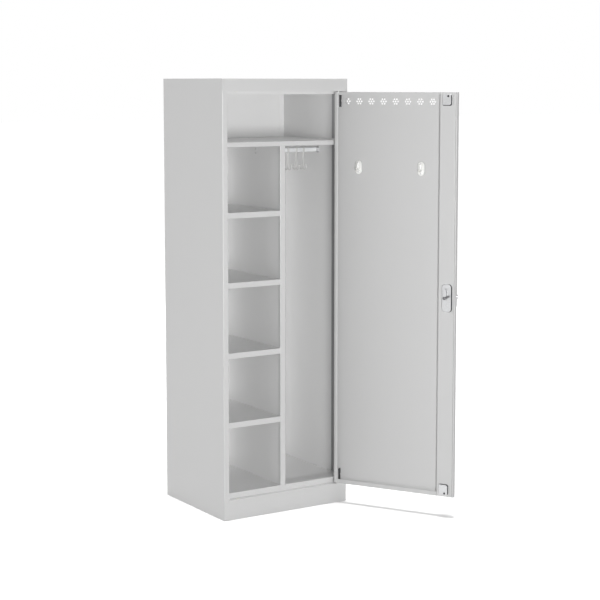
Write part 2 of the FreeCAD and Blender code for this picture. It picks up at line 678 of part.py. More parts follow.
def lock_case():
    """Raised lock case on the channel, with a hole for the spindle."""
    x = SPINDLE_X - CASE_SHIFT
    case = rounded_plate(CASE_WIDE, CASE_TALL, CASE_THICK, CASE_ROUND, x, DOOR_LIP_Y, LOCK_Z, CASE_EDGE)
    return case.cut(rod(SPINDLE_SQUARE, Vector(SPINDLE_X, DOOR_LIP_Y - 1, LOCK_Z), INWARD, CASE_THICK + 2))


# --- lock work ------------------------------------------------------------------------
def involute(base, radius, turned):
    """A point of an involute at a radius, turned about the centre."""
    spread = math.sqrt((radius / base) ** 2 - 1)
    angle = spread - math.atan(spread) + turned
    return radius * math.cos(angle), radius * math.sin(angle)


def drive_pinion():
    """Sixteen-tooth pinion with involute flanks on a square hole."""
    pressure = math.radians(PRESSURE_DEG)
    base = PITCH_RADIUS * math.cos(pressure)
    root = PITCH_RADIUS - MODULE - ROOT_GAP
    tip = PITCH_RADIUS + MODULE - ROOT_GAP
    inv = math.tan(pressure) - pressure
    half = math.pi / (2 * PINION_TEETH) - BACKLASH / (2 * PITCH_RADIUS)
    blank = facet_bar(root, Vector(0, 0, 0), INWARD, PINION_THICK, 2 * PINION_TEETH)
    pieces = [blank]
    for i in range(PINION_TEETH):
        centre = 2 * math.pi * i / PINION_TEETH
        flank_low = involute(base, base * 1.0001, -half - inv)
        flank_mid = involute(base, (base + tip) / 2, -half - inv)
        flank_top = involute(base, tip, -half - inv)
        points = [(root * 0.9, flank_low[1]), flank_low, flank_mid, flank_top]
        mirror = [(u, -v) for u, v in points]
        turn = [[(u * math.cos(centre) - v * math.sin(centre),
                  u * math.sin(centre) + v * math.cos(centre)) for u, v in half_tooth]
                for half_tooth in (points, mirror)]
        low, high = [[elevation(u, v) for u, v in half_tooth] for half_tooth in turn]
        pieces.append(prism(low + high[::-1], INWARD * PINION_THICK))
    gear = joined(pieces)
    half_square = SPINDLE_SQUARE / 2
    gear = gear.cut(box(-half_square, half_square, -1, PINION_THICK + 1, -half_square, half_square))
    gear.translate(Vector(SPINDLE_X, ROD_Y - PINION_THICK / 2, LOCK_Z))
    return gear


def rack(side):
    """Toothed bar beside the pinion; side is the side of the pinion it runs on."""
    pitch = math.pi * MODULE
    slope = math.tan(math.radians(PRESSURE_DEG))
    half = pitch / 4 - BACKLASH / 2
    travel = PITCH_RADIUS * math.radians(TURN_DEG)
    depth = MODULE - ROOT_GAP
    root = PITCH_RADIUS + MODULE + ROD_GAP
    near = PITCH_RADIUS - depth
    low = LOCK_Z - FOOT_RISE * side
    bar_low, bar_high = sorted((low, low + side * RACK_TALL))
    face = sorted((SPINDLE_X + side * root, SPINDLE_X + side * (root + ROD_WIDE)))
    pieces = [box(face[0], face[1], ROD_Y - ROD_THICK / 2, ROD_Y + ROD_THICK / 2, bar_low, bar_high)]
    count = int(travel / pitch) + 4
    for i in range(count):
        z = LOCK_Z + side * (1.5 - i) * pitch
        wide = half + (root - PITCH_RADIUS) * slope
        thin = half - depth * slope
        outline = [(root + 0.5, z - wide), (root, z - wide), (near, z - thin), (near, z + thin),
                   (root, z + wide), (root + 0.5, z + wide), (root + 0.5, z - wide)]
        wire = Part.makePolygon([elevation(SPINDLE_X + side * u, v) for u, v in outline])
        tooth = Part.Face(wire).extrude(INWARD * ROD_THICK)
        tooth.translate(INWARD * (ROD_Y - ROD_THICK / 2))
        pieces.append(tooth)
    return pieces


def lock_rod(side):
    """Lock rod: rack, foot and stem in one; side +1 is the top rod, -1 the bottom rod."""
    pieces = rack(side)
    root = PITCH_RADIUS + MODULE + ROD_GAP
    outer = SPINDLE_X + side * (root + ROD_WIDE)
    inner = ROD_X - side * ROD_WIDE / 2
    foot_x = sorted((inner, outer))
    foot_z = sorted((LOCK_Z + side * FOOT_RISE, LOCK_Z + side * (FOOT_RISE + FOOT_TALL)))
    y0, y1 = ROD_Y - ROD_THICK / 2, ROD_Y + ROD_THICK / 2
    pieces.append(box(foot_x[0], foot_x[1], y0, y1, foot_z[0], foot_z[1]))
    end = (DOOR_TOP if side > 0 else DOOR_LOW) - side * (ROD_END_IN + TIP_LONG)
    stem = sorted((LOCK_Z + side * FOOT_RISE, end))
    pieces.append(box(ROD_X - ROD_WIDE / 2, ROD_X + ROD_WIDE / 2, y0, y1, stem[0], stem[1]))
    return joined(pieces)


def rod_tip(side):
    """Round end of a lock rod, pressed on the stem."""
    end = (DOOR_TOP if side > 0 else DOOR_LOW) - side * ROD_END_IN
    tip = facet_bar(ROD_TIP, Vector(ROD_X, ROD_Y, end), UP * -side, TIP_LONG, SLEEVE_SIDES)
    rim = [e for e in tip.Edges if abs(e.BoundBox.ZMin - end) < 1e-6 and abs(e.BoundBox.ZMax - end) < 1e-6]
    return tip.makeChamfer(TIP_BEVEL, rim)


CASE_TOP_Y = DOOR_LIP_Y + CASE_THICK
CAM_Y = CASE_TOP_Y + CAM_GAP


def spindle():
    """Square shaft from the turn handle through the pinion to the latch cam."""
    half = SPINDLE_SQUARE / 2
    start = DOOR_FRONT - ROSETTE_THICK
    return box(SPINDLE_X - half, SPINDLE_X + half, start, CAM_Y + CAM_THICK,
               LOCK_Z - half, LOCK_Z + half)


def arm(length, wide, thick):
    """A flat arm with a round end, from the origin upwards."""
    bar = box(-wide / 2, wide / 2, 0, thick, 0, length - wide / 2)
    hub = facet_bar(wide / 2 + CAM_HUB, Vector(0, 0, 0), INWARD, thick, SLEEVE_SIDES)
    end = facet_bar(wide / 2, Vector(0, 0, length - wide / 2), INWARD, thick, SLEEVE_SIDES)
    return [bar, hub, end]


def latch_cam():
    """Flat cam: a long arm that goes behind the door stop and a short ear."""
    half = SPINDLE_SQUARE / 2
    ear = Part.makeCompound(arm(CAM_EAR, CAM_WIDE * 0.6, CAM_THICK))
    ear.rotate(Vector(0, 0, 0), INWARD, -EAR_DEG + 45)
    cam = joined(arm(CAM_LONG, CAM_WIDE, CAM_THICK) + ear.Solids)
    cam = cam.cut(box(-half, half, -1, CAM_THICK + 1, -half, half))
    cam.translate(Vector(SPINDLE_X, CAM_Y, LOCK_Z))
    return cam


def spindle_nut():
    """Round nut with a bevelled rim on the spindle's inner end."""
    base = Vector(SPINDLE_X, CAM_Y + CAM_THICK, LOCK_Z)
    nut = facet_bar(NUT_RADIUS, base, INWARD, NUT_TALL, SLEEVE_SIDES)
    top = base.y + NUT_TALL
    rim = [e for e in nut.Edges if abs(e.BoundBox.YMin - top) < 1e-6 and abs(e.BoundBox.YMax - top) < 1e-6]
    return nut.makeChamfer(NUT_BEVEL, rim)


def handle_rosette():
    """Round plate under the turn handle, on the door's outer face."""
    plate = facet_bar(ROSETTE_RADIUS, Vector(SPINDLE_X, DOOR_FRONT, LOCK_Z), -INWARD, ROSETTE_THICK,
                      2 * SLEEVE_SIDES)
    return plate.cut(rod(HANDLE_NECK + NECK_RUN, Vector(SPINDLE_X, DOOR_FRONT + 1, LOCK_Z),
                         -INWARD, ROSETTE_THICK + 2))


def turn_handle():
    """Wing-shaped turn handle on a round neck, with a socket for the lock cylinder."""
    grip_y = DOOR_FRONT - HANDLE_STAND
    half = SPINDLE_SQUARE / 2
    neck = rod(HANDLE_NECK, Vector(SPINDLE_X, DOOR_FRONT, LOCK_Z), -INWARD, HANDLE_STAND)
    front = grip_y - WING_THICK
    wing = rounded_plate(WING_LONG, WING_WIDE, WING_THICK, WING_WIDE / 2 - WING_BEVEL, SPINDLE_X, grip_y,
                         LOCK_Z, WING_BEVEL)
    wing = wing.mirror(Vector(SPINDLE_X, grip_y, LOCK_Z), INWARD)
    body = joined([neck, wing])
    socket = rod(CYLINDER_RADIUS + CYLINDER_RUN, Vector(SPINDLE_X, front - 1, LOCK_Z), INWARD,
                 CYLINDER_DEEP + 1)
    square = box(SPINDLE_X - half, SPINDLE_X + half, DOOR_FRONT - ROSETTE_THICK, DOOR_FRONT + 1,
                 LOCK_Z - half, LOCK_Z + half)
    return body.cut(socket).cut(square)


def lock_cylinder():
    """Key cylinder in the turn handle, with a keyway."""
    front = DOOR_FRONT - HANDLE_STAND - WING_THICK
    barrel = rod(CYLINDER_RADIUS, Vector(SPINDLE_X, front - CYLINDER_PROUD, LOCK_Z), INWARD,
                 CYLINDER_DEEP + CYLINDER_PROUD)
    slot = box(SPINDLE_X - KEY_SLOT_WIDE / 2, SPINDLE_X + KEY_SLOT_WIDE / 2, front - 5, front + 4,
               LOCK_Z - KEY_SLOT_LONG / 2, LOCK_Z + KEY_SLOT_LONG / 2)
    return barrel.cut(slot)


def main():
    os.makedirs("parts", exist_ok=True)
    save("side_panel_left", side_panel(-1))
    save("side_panel_right", side_panel(1))
    save("back_panel", back_panel())
    save("top_panel", top_panel())
    save("plinth", plinth())
    save("bottom_panel", bottom_panel())
    save("partition", partition())
    save("hat_shelf", shelf(-WALL, WALL, HAT_SHELF_TOP, HAT_SHELF_LIP))
    for i, top in enumerate(SHELF_TOPS):
        save("shelf_%d" % (i + 1), shelf(-WALL, -PARTITION_FRONT / 2, top, SHELF_LIP))
    save("shelf_clips", clips(SHELF_TOPS, ((-WALL, 1), (-PARTITION_FRONT / 2, -1))))
    save("hat_shelf_clips", clips((HAT_SHELF_TOP,), ((-WALL, 1), (WALL, -1))))
    save("clothes_rail", clothes_rail())
    save("rail_support_left", rail_support(RAIL_LEFT, 1))
    save("rail_support_right", rail_support(RAIL_RIGHT, -1))
    save("rail_screws", rail_screws())
    for i, x in enumerate(RAIL_HOOK_X):
        save("rail_hook_%d" % (i + 1), rail_hook(x))
    save("door_buffers", door_buffers())

    guide_places = []
    for name, end, way, frame_z in (("top", DOOR_TOP, -1, FASCIA_Z), ("bottom", DOOR_LOW, 1, PLINTH)):
        save("hinge_bush_" + name, hinge_bush(frame_z, -way))
        save("rod_socket_" + name, rod_socket(frame_z, -way))
        save("hinge_housing_" + name, opened(hinge_housing(end, way)))
        save("hinge_pin_" + name, opened(hinge_pin(end, way, frame_z)))
        save("rod_guide_" + name, opened(rod_guide(end, way)))
        save("guide_nose_" + name, opened(guide_nose(end, way)))
        save("rod_" + name, opened(lock_rod(-way)))
        save("rod_tip_" + name, opened(rod_tip(-way)))
        low = end + way * (GUIDE_INSET + GUIDE_TALL - 3 * SCREW_HEAD)
        guide_places += [(ROD_X - GUIDE_WIDE / 4, low), (ROD_X + GUIDE_WIDE / 4, low)]

    save("door_panel", opened(door_panel()))
    save("lock_channel", opened(lock_channel()))
    for name, x in zip(("hinge_side", "lock_side"), COAT_HOOK_X):
        save("coat_hook_" + name, opened(coat_hook(x)))
    hook_places = [(x, COAT_HOOK_Z + way * HOOK_PLATE_TALL / 3) for x in COAT_HOOK_X for way in (-1, 1)]
    save("hook_screws", opened(screws(hook_places, DOOR_IN + HOOK_PLATE_THICK)))
    save("guide_screws", opened(screws(guide_places, DOOR_LIP_Y + GUIDE_THICK)))
    save("lock_case", opened(lock_case()))
    case_x = SPINDLE_X - CASE_SHIFT
    case_places = [(case_x, LOCK_Z + way * (CASE_TALL / 2 - 2 * CASE_ROUND)) for way in (-1, 1)]
    save("lock_case_screws", opened(screws(case_places, CASE_TOP_Y)))
    save("handle_rosette", opened(handle_rosette()))
    save("turn_handle", opened(turn_handle()))
    save("spindle", opened(spindle()))
    save("drive_pinion", opened(drive_pinion()))
    save("latch_cam", opened(latch_cam()))
    save("spindle_nut", opened(spindle_nut()))
    save("lock_cylinder", opened(lock_cylinder()))


main()
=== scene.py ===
# %% [markdown]
# # A steel school locker with its door wide open
# This notebook dresses a wardrobe locker: a folded steel cabinet with a hat shelf, four small
# shelves on the left, a hanging rail on the right and one wide door with a three-point lock.
# The model's pieces come in as a fixed frame. We never move them. We give them finishes, and we
# remodel only the small moulded pieces whose soft shapes need a finer hand.

# %% Load the frame
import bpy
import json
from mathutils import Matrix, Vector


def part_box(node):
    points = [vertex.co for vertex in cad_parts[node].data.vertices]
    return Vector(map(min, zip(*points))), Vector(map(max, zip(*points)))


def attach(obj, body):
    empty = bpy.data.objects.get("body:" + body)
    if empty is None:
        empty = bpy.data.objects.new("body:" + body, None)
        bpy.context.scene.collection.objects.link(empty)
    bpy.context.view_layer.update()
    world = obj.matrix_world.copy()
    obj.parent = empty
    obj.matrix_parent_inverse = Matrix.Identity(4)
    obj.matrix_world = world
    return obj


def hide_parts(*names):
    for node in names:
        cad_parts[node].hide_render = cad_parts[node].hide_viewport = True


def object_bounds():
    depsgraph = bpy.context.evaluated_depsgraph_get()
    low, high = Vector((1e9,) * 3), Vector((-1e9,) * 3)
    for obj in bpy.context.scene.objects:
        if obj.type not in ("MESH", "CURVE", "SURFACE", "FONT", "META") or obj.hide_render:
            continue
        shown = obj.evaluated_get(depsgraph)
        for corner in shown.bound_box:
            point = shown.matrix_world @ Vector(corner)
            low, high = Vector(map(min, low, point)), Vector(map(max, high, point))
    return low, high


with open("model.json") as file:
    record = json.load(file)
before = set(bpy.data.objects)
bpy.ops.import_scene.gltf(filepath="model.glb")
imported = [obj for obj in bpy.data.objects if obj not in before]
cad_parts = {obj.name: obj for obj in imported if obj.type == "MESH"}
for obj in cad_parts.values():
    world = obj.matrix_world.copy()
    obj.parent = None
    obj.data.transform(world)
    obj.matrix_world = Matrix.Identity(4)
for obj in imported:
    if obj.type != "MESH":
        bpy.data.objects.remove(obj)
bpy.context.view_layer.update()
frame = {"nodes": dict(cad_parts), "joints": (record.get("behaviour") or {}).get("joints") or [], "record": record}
print("pieces in the frame:", len(frame["nodes"]))

# %% What the script needs
import bpy
import json
import math
from mathutils import Matrix, Vector

# %% [markdown]
# ## Where the door hangs
# The door stands open, so its small pieces lie at an angle. It is easier to model a hook or a
# screw as if the door were closed, facing us squarely, and then to turn the finished piece
# about the hinge line. The hinge joint of the record gives that line and the angle.

# %% The hinge line and the open door's turn
joints = {joint["name"]: joint for joint in frame["joints"]}
hinge_point = Vector(joints["door_hinge"]["pos_m"])
open_angle = math.radians(-min(joints["door_hinge"]["range_deg"]))
door_turn = (Matrix.Translation(hinge_point) @ Matrix.Rotation(open_angle, 4, "Z")
             @ Matrix.Translation(-hinge_point))
carcass_turn = Matrix.Identity(4)
print("door open by", round(math.degrees(open_angle)), "degrees")


# %% Boxes of pieces, measured as if the door were closed
def corners(points):
    """Lowest and highest corner of some points."""
    low = Vector([min(p[i] for p in points) for i in range(3)])
    high = Vector([max(p[i] for p in points) for i in range(3)])
    return low, high


def closed_box(name):
    """Box of a door piece in the closed door's directions."""
    back = door_turn.inverted()
    return corners([back @ v.co for v in frame["nodes"][name].data.vertices])


def separate_bits(name, turn, reach):
    """Boxes of the bits of a piece that is several small solids, each no larger than reach."""
    back = turn.inverted()
    groups = []
    for vertex in frame["nodes"][name].data.vertices:
        point = back @ vertex.co
        for group in groups:
            if (group[0] - point).length < reach:
                group.append(point)
                break
        else:
            groups.append([point])
    return [corners(group) for group in groups]


print("hook plate, closed:", [round(v, 4) for v in closed_box("coat_hook_hinge_side")[0]])

# %% [markdown]
# ## The camera
# The locker is seen from a little above the middle of its height and from the left of its
# front, with a long lens that stands well back. A long lens keeps upright edges upright, and
# the small vertical shift frames the whole cabinet without tilting the camera further.

# %% Camera
CAMERA_PLACE = (-3.4044, -5.6820, 1.7837)
CAMERA_TURN = 32.576     # degrees to the right of straight ahead
CAMERA_DIP = 6.281       # degrees below level
CAMERA_LENS = 93.998     # millimetres
CAMERA_SENSOR = 36       # millimetres
CAMERA_SHIFT = -0.075    # share of the sensor's width

lens = bpy.data.cameras.new("camera")
lens.lens = CAMERA_LENS
lens.sensor_width = CAMERA_SENSOR
lens.shift_y = CAMERA_SHIFT
camera = bpy.data.objects.new("camera", lens)
camera.location = CAMERA_PLACE
camera.rotation_euler = (math.radians(90 - CAMERA_DIP), 0, -math.radians(CAMERA_TURN))
bpy.context.scene.collection.objects.link(camera)
bpy.context.scene.camera = camera
print("camera stands", round(Vector(CAMERA_PLACE).length, 2), "m from the locker")

# %% [markdown]
# ## Light, floor and backdrop
# A cabinet is a row of deep boxes, and light from one side leaves them dark. So the main lamp is
# a soft box that stands well back, a little to the left of straight ahead, at chest height. A
# second, larger one lights the left side from beside the cabinet, a third stands behind it for
# the back and the right side, and a dim white room fills the rest. In each box one faint fill
# lamp sits behind the front edge and faces inwards, and another sits at the back and faces out,
# as a studio lifts dark corners with white cards. The hat compartment needs only the front one.
# A lamp straight above draws the thin shadow under the open door. The floor is white to the
# camera, yet a part of its colour is still lit by the lamps, so it keeps that shadow.

# %% Colour management and the white room
scene = bpy.context.scene
scene.view_settings.view_transform = "Standard"
ROOM_LIGHT = 0.10
WHITE = (1, 1, 1, 1)


def add_node(tree, kind, sockets, operation=None):
    """A new node; each socket, by name or number, gets a value or another node's output."""
    made = tree.nodes.new(kind)
    if operation:
        made.operation = operation
    for socket, value in sockets.items():
        if isinstance(value, bpy.types.NodeSocket):
            tree.links.new(value, made.inputs[socket])
        else:
            made.inputs[socket].default_value = value
    return made


def shown_and_lit(tree, output, lit, shown):
    """Shows one shader to the camera, mirrors and glass, and lights rough surfaces by another."""
    path = add_node(tree, "ShaderNodeLightPath", {})
    seen = path.outputs["Is Camera Ray"]
    for ray in ("Is Glossy Ray", "Is Transmission Ray"):
        either = add_node(tree, "ShaderNodeMath", {0: seen, 1: path.outputs[ray]}, "MAXIMUM")
        seen = either.outputs[0]
    mix = add_node(tree, "ShaderNodeMixShader", {"Fac": seen, 1: lit, 2: shown})
    add_node(tree, output, {"Surface": mix.outputs[0]})


world = bpy.data.worlds.new("white_room")
scene.world = world
world.use_nodes = True
room = world.node_tree
room.nodes.clear()
room_light, room_white = [
    add_node(room, "ShaderNodeBackground", {"Color": WHITE, "Strength": strength}).outputs[0]
    for strength in (ROOM_LIGHT, 1.0)]
shown_and_lit(room, "ShaderNodeOutputWorld", room_light, room_white)
print("room light", ROOM_LIGHT)


# %% The soft lamps
def area_lamp(name, place, target, size, power, tall=None):
    """An area lamp that looks at a point; it is square unless a height is given."""
    data = bpy.data.lights.new(name, "AREA")
    data.size = size
    data.energy = power
    if tall:
        data.shape = "RECTANGLE"
        data.size_y = tall
    lamp = bpy.data.objects.new(name, data)
    lamp.location = place
    lamp.rotation_euler = (Vector(target) - Vector(place)).to_track_quat("-Z", "Y").to_euler()
    scene.collection.objects.link(lamp)
    return lamp


print("lamp helper ready")

# %% The lamps in the room
LAMPS = (  # name, place, what it looks at, size in metres, watts
    ("key_lamp", (-2.05, -5.80, 1.35), (0.0, -0.2, 0.9), 0.95, 246),
    ("side_lamp", (-5.0, 1.0, 1.5), (0.0, -0.2, 0.9), 2.5, 94),
    ("rear_lamp", (4.6, 3.6, 1.6), (0.0, 0.0, 0.9), 2.5, 230),
)
OVERHEAD_STRENGTH = 2.9
OVERHEAD_WIDE = 4        # degrees of sky that the lamp fills, which softens its shadow

for lamp_name, *settings in LAMPS:
    lamp = area_lamp(lamp_name, *settings)
    lamp.visible_glossy = lamp_name == "key_lamp"   # only the main lamp glints in the metal
overhead_light = bpy.data.lights.new("overhead", "SUN")
overhead_light.energy = OVERHEAD_STRENGTH
overhead_light.angle = math.radians(OVERHEAD_WIDE)
overhead = bpy.data.objects.new("overhead", overhead_light)
scene.collection.objects.link(overhead)
print("main lamp:", LAMPS[0][-1], "watts")

# %% The faint fill in each box of the cabinet
BOX_FILL = (1.20, 2.6)   # watts for each square metre of opening, at the front and at the back
TALL_FILL = (1.00, 1.5)
HAT_FILL = 3.0
FRONT_Y = -0.213         # just behind the front edges
TALL_Y = -0.150          # further in, behind the door stop
BACK_Y = 0.238           # just in front of the back
FILL_NARROW = 0.02       # how much narrower and lower than its box a lamp is
FILL_LOW = 0.03


def fill_lamp(name, left, right, low, high, y, watts):
    """A lamp as large as an opening that shines into the box; it leaves no spark on the paint."""
    wide, tall = right - left - FILL_NARROW, high - low - FILL_LOW
    middle = ((left + right) / 2, y, (low + high) / 2)
    lamp = area_lamp(name, middle, (middle[0], 0.0, middle[2]), wide, watts * wide * tall, tall)
    lamp.visible_camera = False
    lamp.visible_glossy = False


left_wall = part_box("side_panel_left")[0][0]
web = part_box("rail_support_left")[0][0]
floor_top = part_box("bottom_panel")[1][2]
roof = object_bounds()[1][2]
hat_top, hat_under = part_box("hat_shelf")[1][2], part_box("hat_shelf")[0][2]
levels = [floor_top, hat_under] + [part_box("shelf_%d" % n)[1][2] for n in (1, 2, 3, 4)]
levels.sort()
boxes = [(left_wall, web, low, high) for low, high in zip(levels, levels[1:])]
for number, box in enumerate(boxes, 1):
    fill_lamp("front_fill_%d" % number, *box, FRONT_Y, BOX_FILL[0])
    fill_lamp("back_fill_%d" % number, *box, BACK_Y, BOX_FILL[1])
tall_box = (web, -left_wall, floor_top, hat_under)
fill_lamp("front_fill_wardrobe", *tall_box, TALL_Y, TALL_FILL[0])
fill_lamp("back_fill_wardrobe", *tall_box, BACK_Y, TALL_FILL[1])
fill_lamp("hat_fill", left_wall, -left_wall, hat_top, roof, FRONT_Y, HAT_FILL)

# %% The floor
FLOOR_SIZE = 120
FLOOR_DROP = 0.0004      # keeps the floor clear of the plinth's underside
FLOOR_GLOW = 0.12        # light that the floor gives to the camera by itself
FLOOR_SHARE = 0.90       # share of the lamps' light that it shows
FLOOR_BOUNCE = 0.28      # share that it throws back at the cabinet

bpy.ops.object.select_all(action="DESELECT")
bpy.ops.mesh.primitive_plane_add(size=FLOOR_SIZE, location=(0, 0, -FLOOR_DROP))
floor = bpy.context.object
floor.name = "floor"

paint = bpy.data.materials.new("studio_floor")
paint.use_nodes = True
tree = paint.node_tree
tree.nodes.clear()
lit, bounce = [
    add_node(tree, "ShaderNodeBsdfDiffuse", {"Color": (share, share, share, 1)}).outputs[0]
    for share in (FLOOR_SHARE, FLOOR_BOUNCE)]
glow = add_node(tree, "ShaderNodeEmission", {"Color": WHITE, "Strength": FLOOR_GLOW})
shown = add_node(tree, "ShaderNodeAddShader", {0: lit, 1: glow.outputs[0]})
shown_and_lit(tree, "ShaderNodeOutputMaterial", bounce, shown.outputs[0])
floor.data.materials.append(paint)
print("floor is", round(floor.dimensions.x), "m wide")

# %% [markdown]
# ## Finishes
# Each finish is a small network of nodes that reads Object coordinates, so that its grain has
# the same real size on every piece. We build one helper that starts a material with a noise
# pattern for its colour, a finer one for its surface, and leaves the rest to each finish.


# %% A finish with grain
def finish(name, colour, rough, shift=0.02, patch=3.0, grain=900.0, relief=0.05, depth=0.0002,
           rough_shift=0.05, metal=0.0):
    """A painted, moulded or plated finish: patchy colour, uneven gloss and a fine relief."""
    material = bpy.data.materials.new(name)
    material.use_nodes = True
    tree = material.node_tree
    shader = tree.nodes["Principled BSDF"]
    shader.inputs["Metallic"].default_value = metal
    place = add_node(tree, "ShaderNodeTexCoord", {}).outputs["Object"]
    cloud = add_node(tree, "ShaderNodeTexNoise", {"Vector": place, "Scale": patch, "Detail": 4.0})
    tint = add_node(tree, "ShaderNodeMapRange", {
        "Value": cloud.outputs["Fac"], "To Min": 1.0 - shift, "To Max": 1.0 + shift})
    shade = add_node(tree, "ShaderNodeVectorMath", {
        0: colour, "Scale": tint.outputs["Result"]}, "SCALE")
    gloss = add_node(tree, "ShaderNodeMapRange", {
        "Value": cloud.outputs["Fac"], "To Min": rough - rough_shift,
        "To Max": rough + rough_shift})
    fine = add_node(tree, "ShaderNodeTexNoise", {"Vector": place, "Scale": grain, "Detail": 2.0})
    bump = add_node(tree, "ShaderNodeBump", {
        "Height": fine.outputs["Fac"], "Strength": relief, "Distance": depth})
    for output, socket in ((shade.outputs["Vector"], "Base Color"),
                           (gloss.outputs["Result"], "Roughness"),
                           (bump.outputs["Normal"], "Normal")):
        tree.links.new(output, shader.inputs[socket])
    return material


print("finish helper ready")

# %% [markdown]
# ### Powder coat
# The sheets are steel, sprayed with light grey powder and baked. Close up, the coat has the fine
# dimples of orange skin. From further off, a thin sheet is never quite flat, so a slow, shallow
# wave goes under the dimples. The door's coat is the same powder, made a slightly darker grey as
# painted shade, to take back the extra light that the open door catches from the lamps.

# %% Powder coat on the cabinet and the door
PAINT_GREY = 0.64
DOOR_PAINTED_SHADE = 0.89        # painted shade: the door's coat as a share of the cabinet's grey
SHEET_WAVE = 0.25        # strength of the slow wave


def powder_coat(name, grey):
    """Baked powder paint with orange-skin dimples over a gently wavy sheet."""
    coat = finish(name, (grey, grey, grey * 0.998), 0.40, shift=0.012, patch=1.7,
                  grain=620.0, relief=0.22, depth=0.00012, rough_shift=0.04)
    tree = coat.node_tree
    place = tree.nodes["Texture Coordinate"].outputs["Object"]
    dimples = tree.nodes["Bump"]
    slow = add_node(tree, "ShaderNodeTexNoise", {"Vector": place, "Scale": 4.5, "Detail": 1.0})
    sheet = add_node(tree, "ShaderNodeBump", {
        "Height": slow.outputs["Fac"], "Strength": SHEET_WAVE, "Distance": 0.004})
    tree.links.new(sheet.outputs["Normal"], dimples.inputs["Normal"])
    return coat


cabinet_paint = powder_coat("cabinet_powder_coat", PAINT_GREY)
# The door's copy of the coat is darkened by painted shade.
door_paint = powder_coat("door_powder_coat_painted_shade", PAINT_GREY * DOOR_PAINTED_SHADE)
print("paints:", cabinet_paint.name, door_paint.name)

# %% [markdown]
# ### Bare metal and plastics
# Zinc plate shows a faint patchwork of grey crystals. Satin chrome is smooth, with hair-thin
# wiping marks that only change its gloss. Moulded plastics carry the fine spark texture of their
# mould. A matt dark grey with a coarse nap serves as painted shade on the side wall beside the hinges.

# %% Zinc plate with its crystals
zinc = finish("zinc_plate", (0.52, 0.523, 0.53), 0.40, shift=0.07, patch=60.0, grain=1400.0,
              relief=0.08, depth=0.0001, rough_shift=0.08, metal=1.0)
tree = zinc.node_tree
crystals = add_node(tree, "ShaderNodeTexVoronoi", {
    "Vector": tree.nodes["Texture Coordinate"].outputs["Object"], "Scale": 240.0})
tree.links.new(crystals.outputs["Distance"], tree.nodes["Map Range"].inputs["Value"])
print("zinc nodes:", len(tree.nodes))

# %% Chrome, plastics, nylon, steel, a painted-shade grey and rubber
chrome = finish("satin_chrome", (0.50, 0.505, 0.515), 0.22, shift=0.02, patch=35.0,
                grain=2200.0, relief=0.03, depth=0.00005, rough_shift=0.05, metal=1.0)
# Real black plastic; the same black also serves as painted shade in the crescents by the lock case and guides.
black_plastic = finish("black_plastic_and_painted_shade", (0.018, 0.018, 0.020), 0.46, shift=0.15,
                       patch=90.0, grain=2600.0, relief=0.25, depth=0.00008)
white_plastic = finish("white_moulded_plastic", (0.86, 0.86, 0.84), 0.30, shift=0.015,
                       patch=40.0, grain=2400.0, relief=0.06, depth=0.00006)
nylon = finish("natural_nylon", (0.70, 0.69, 0.64), 0.42, shift=0.03, patch=80.0,
               grain=1800.0, relief=0.12, depth=0.00008)
nylon_shader = nylon.node_tree.nodes["Principled BSDF"]
nylon_shader.inputs["Subsurface Weight"].default_value = 0.15
nylon_shader.inputs["Subsurface Radius"].default_value = (0.003, 0.003, 0.0025)
dark_steel = finish("oiled_dark_steel", (0.16, 0.16, 0.165), 0.38, shift=0.12, patch=120.0,
                    grain=1800.0, relief=0.1, depth=0.00006, rough_shift=0.08, metal=0.8)
hook_plastic = finish("milky_hook_plastic", (0.52, 0.52, 0.51), 0.36, shift=0.02,
                      patch=60.0, grain=2400.0, relief=0.06, depth=0.00006)
rail_steel = finish("drawn_rail_steel", (0.78, 0.79, 0.80), 0.36, shift=0.03, patch=30.0,
                    grain=1600.0, relief=0.06, depth=0.00006, rough_shift=0.06, metal=0.35)
# Painted shade: a matt dark grey for the strip of side wall that the door's edge shades.
shade_strip_paint = finish("painted_shade_strip_grey", (0.31, 0.31, 0.315), 0.92, shift=0.10, patch=220.0, grain=1100.0,
              relief=0.5, depth=0.0003)
rubber = finish("soft_rubber", (0.05, 0.05, 0.052), 0.72, shift=0.12, patch=120.0,
                grain=1500.0, relief=0.3, depth=0.0001)
FINISHES = {"body_paint": cabinet_paint, "door_paint": door_paint, "zinc": zinc,
            "black_plastic": black_plastic, "white_plastic": white_plastic, "nylon": nylon,
            "chrome": chrome, "rubber": rubber}
print("finishes:", sorted(FINISHES))

# %% Give every piece of the frame its finish
slots = {part["node"]: part["material_slot"] for part in frame["record"]["subparts"]}
for name, node in frame["nodes"].items():
    for place in node.material_slots:
        place.material = FINISHES[slots[name]]
print("dressed:", len(slots), "pieces")

# %% [markdown]
# ## Helpers for modelling
# Edit-mode operators act on what is selected. So each piece starts with nothing selected, and
# faces are picked by where they lie or which way they look.


# %% Selecting objects, and going in and out of edit mode
def start():
    """Object mode with nothing selected."""
    if bpy.context.object and bpy.context.object.mode != "OBJECT":
        bpy.ops.object.mode_set(mode="OBJECT")
    bpy.ops.object.select_all(action="DESELECT")


def take(*pieces):
    """Selects these pieces alone and makes the first one active."""
    start()
    for piece in pieces:
        piece.select_set(True)
    bpy.context.view_layer.objects.active = pieces[0]


def edit():
    """Edit mode on the object in hand."""
    bpy.ops.object.mode_set(mode="EDIT")


def leave():
    """Back to object mode."""
    bpy.ops.object.mode_set(mode="OBJECT")


print("selecting helpers ready")

# %% Picking a part of the mesh
NEAR = 1e-5              # metres within which a face or a point lies at a level
SAME = 1e-6              # metres within which two points are one


def pick_all():
    """Selects the whole mesh in edit mode."""
    bpy.ops.mesh.select_all(action="SELECT")


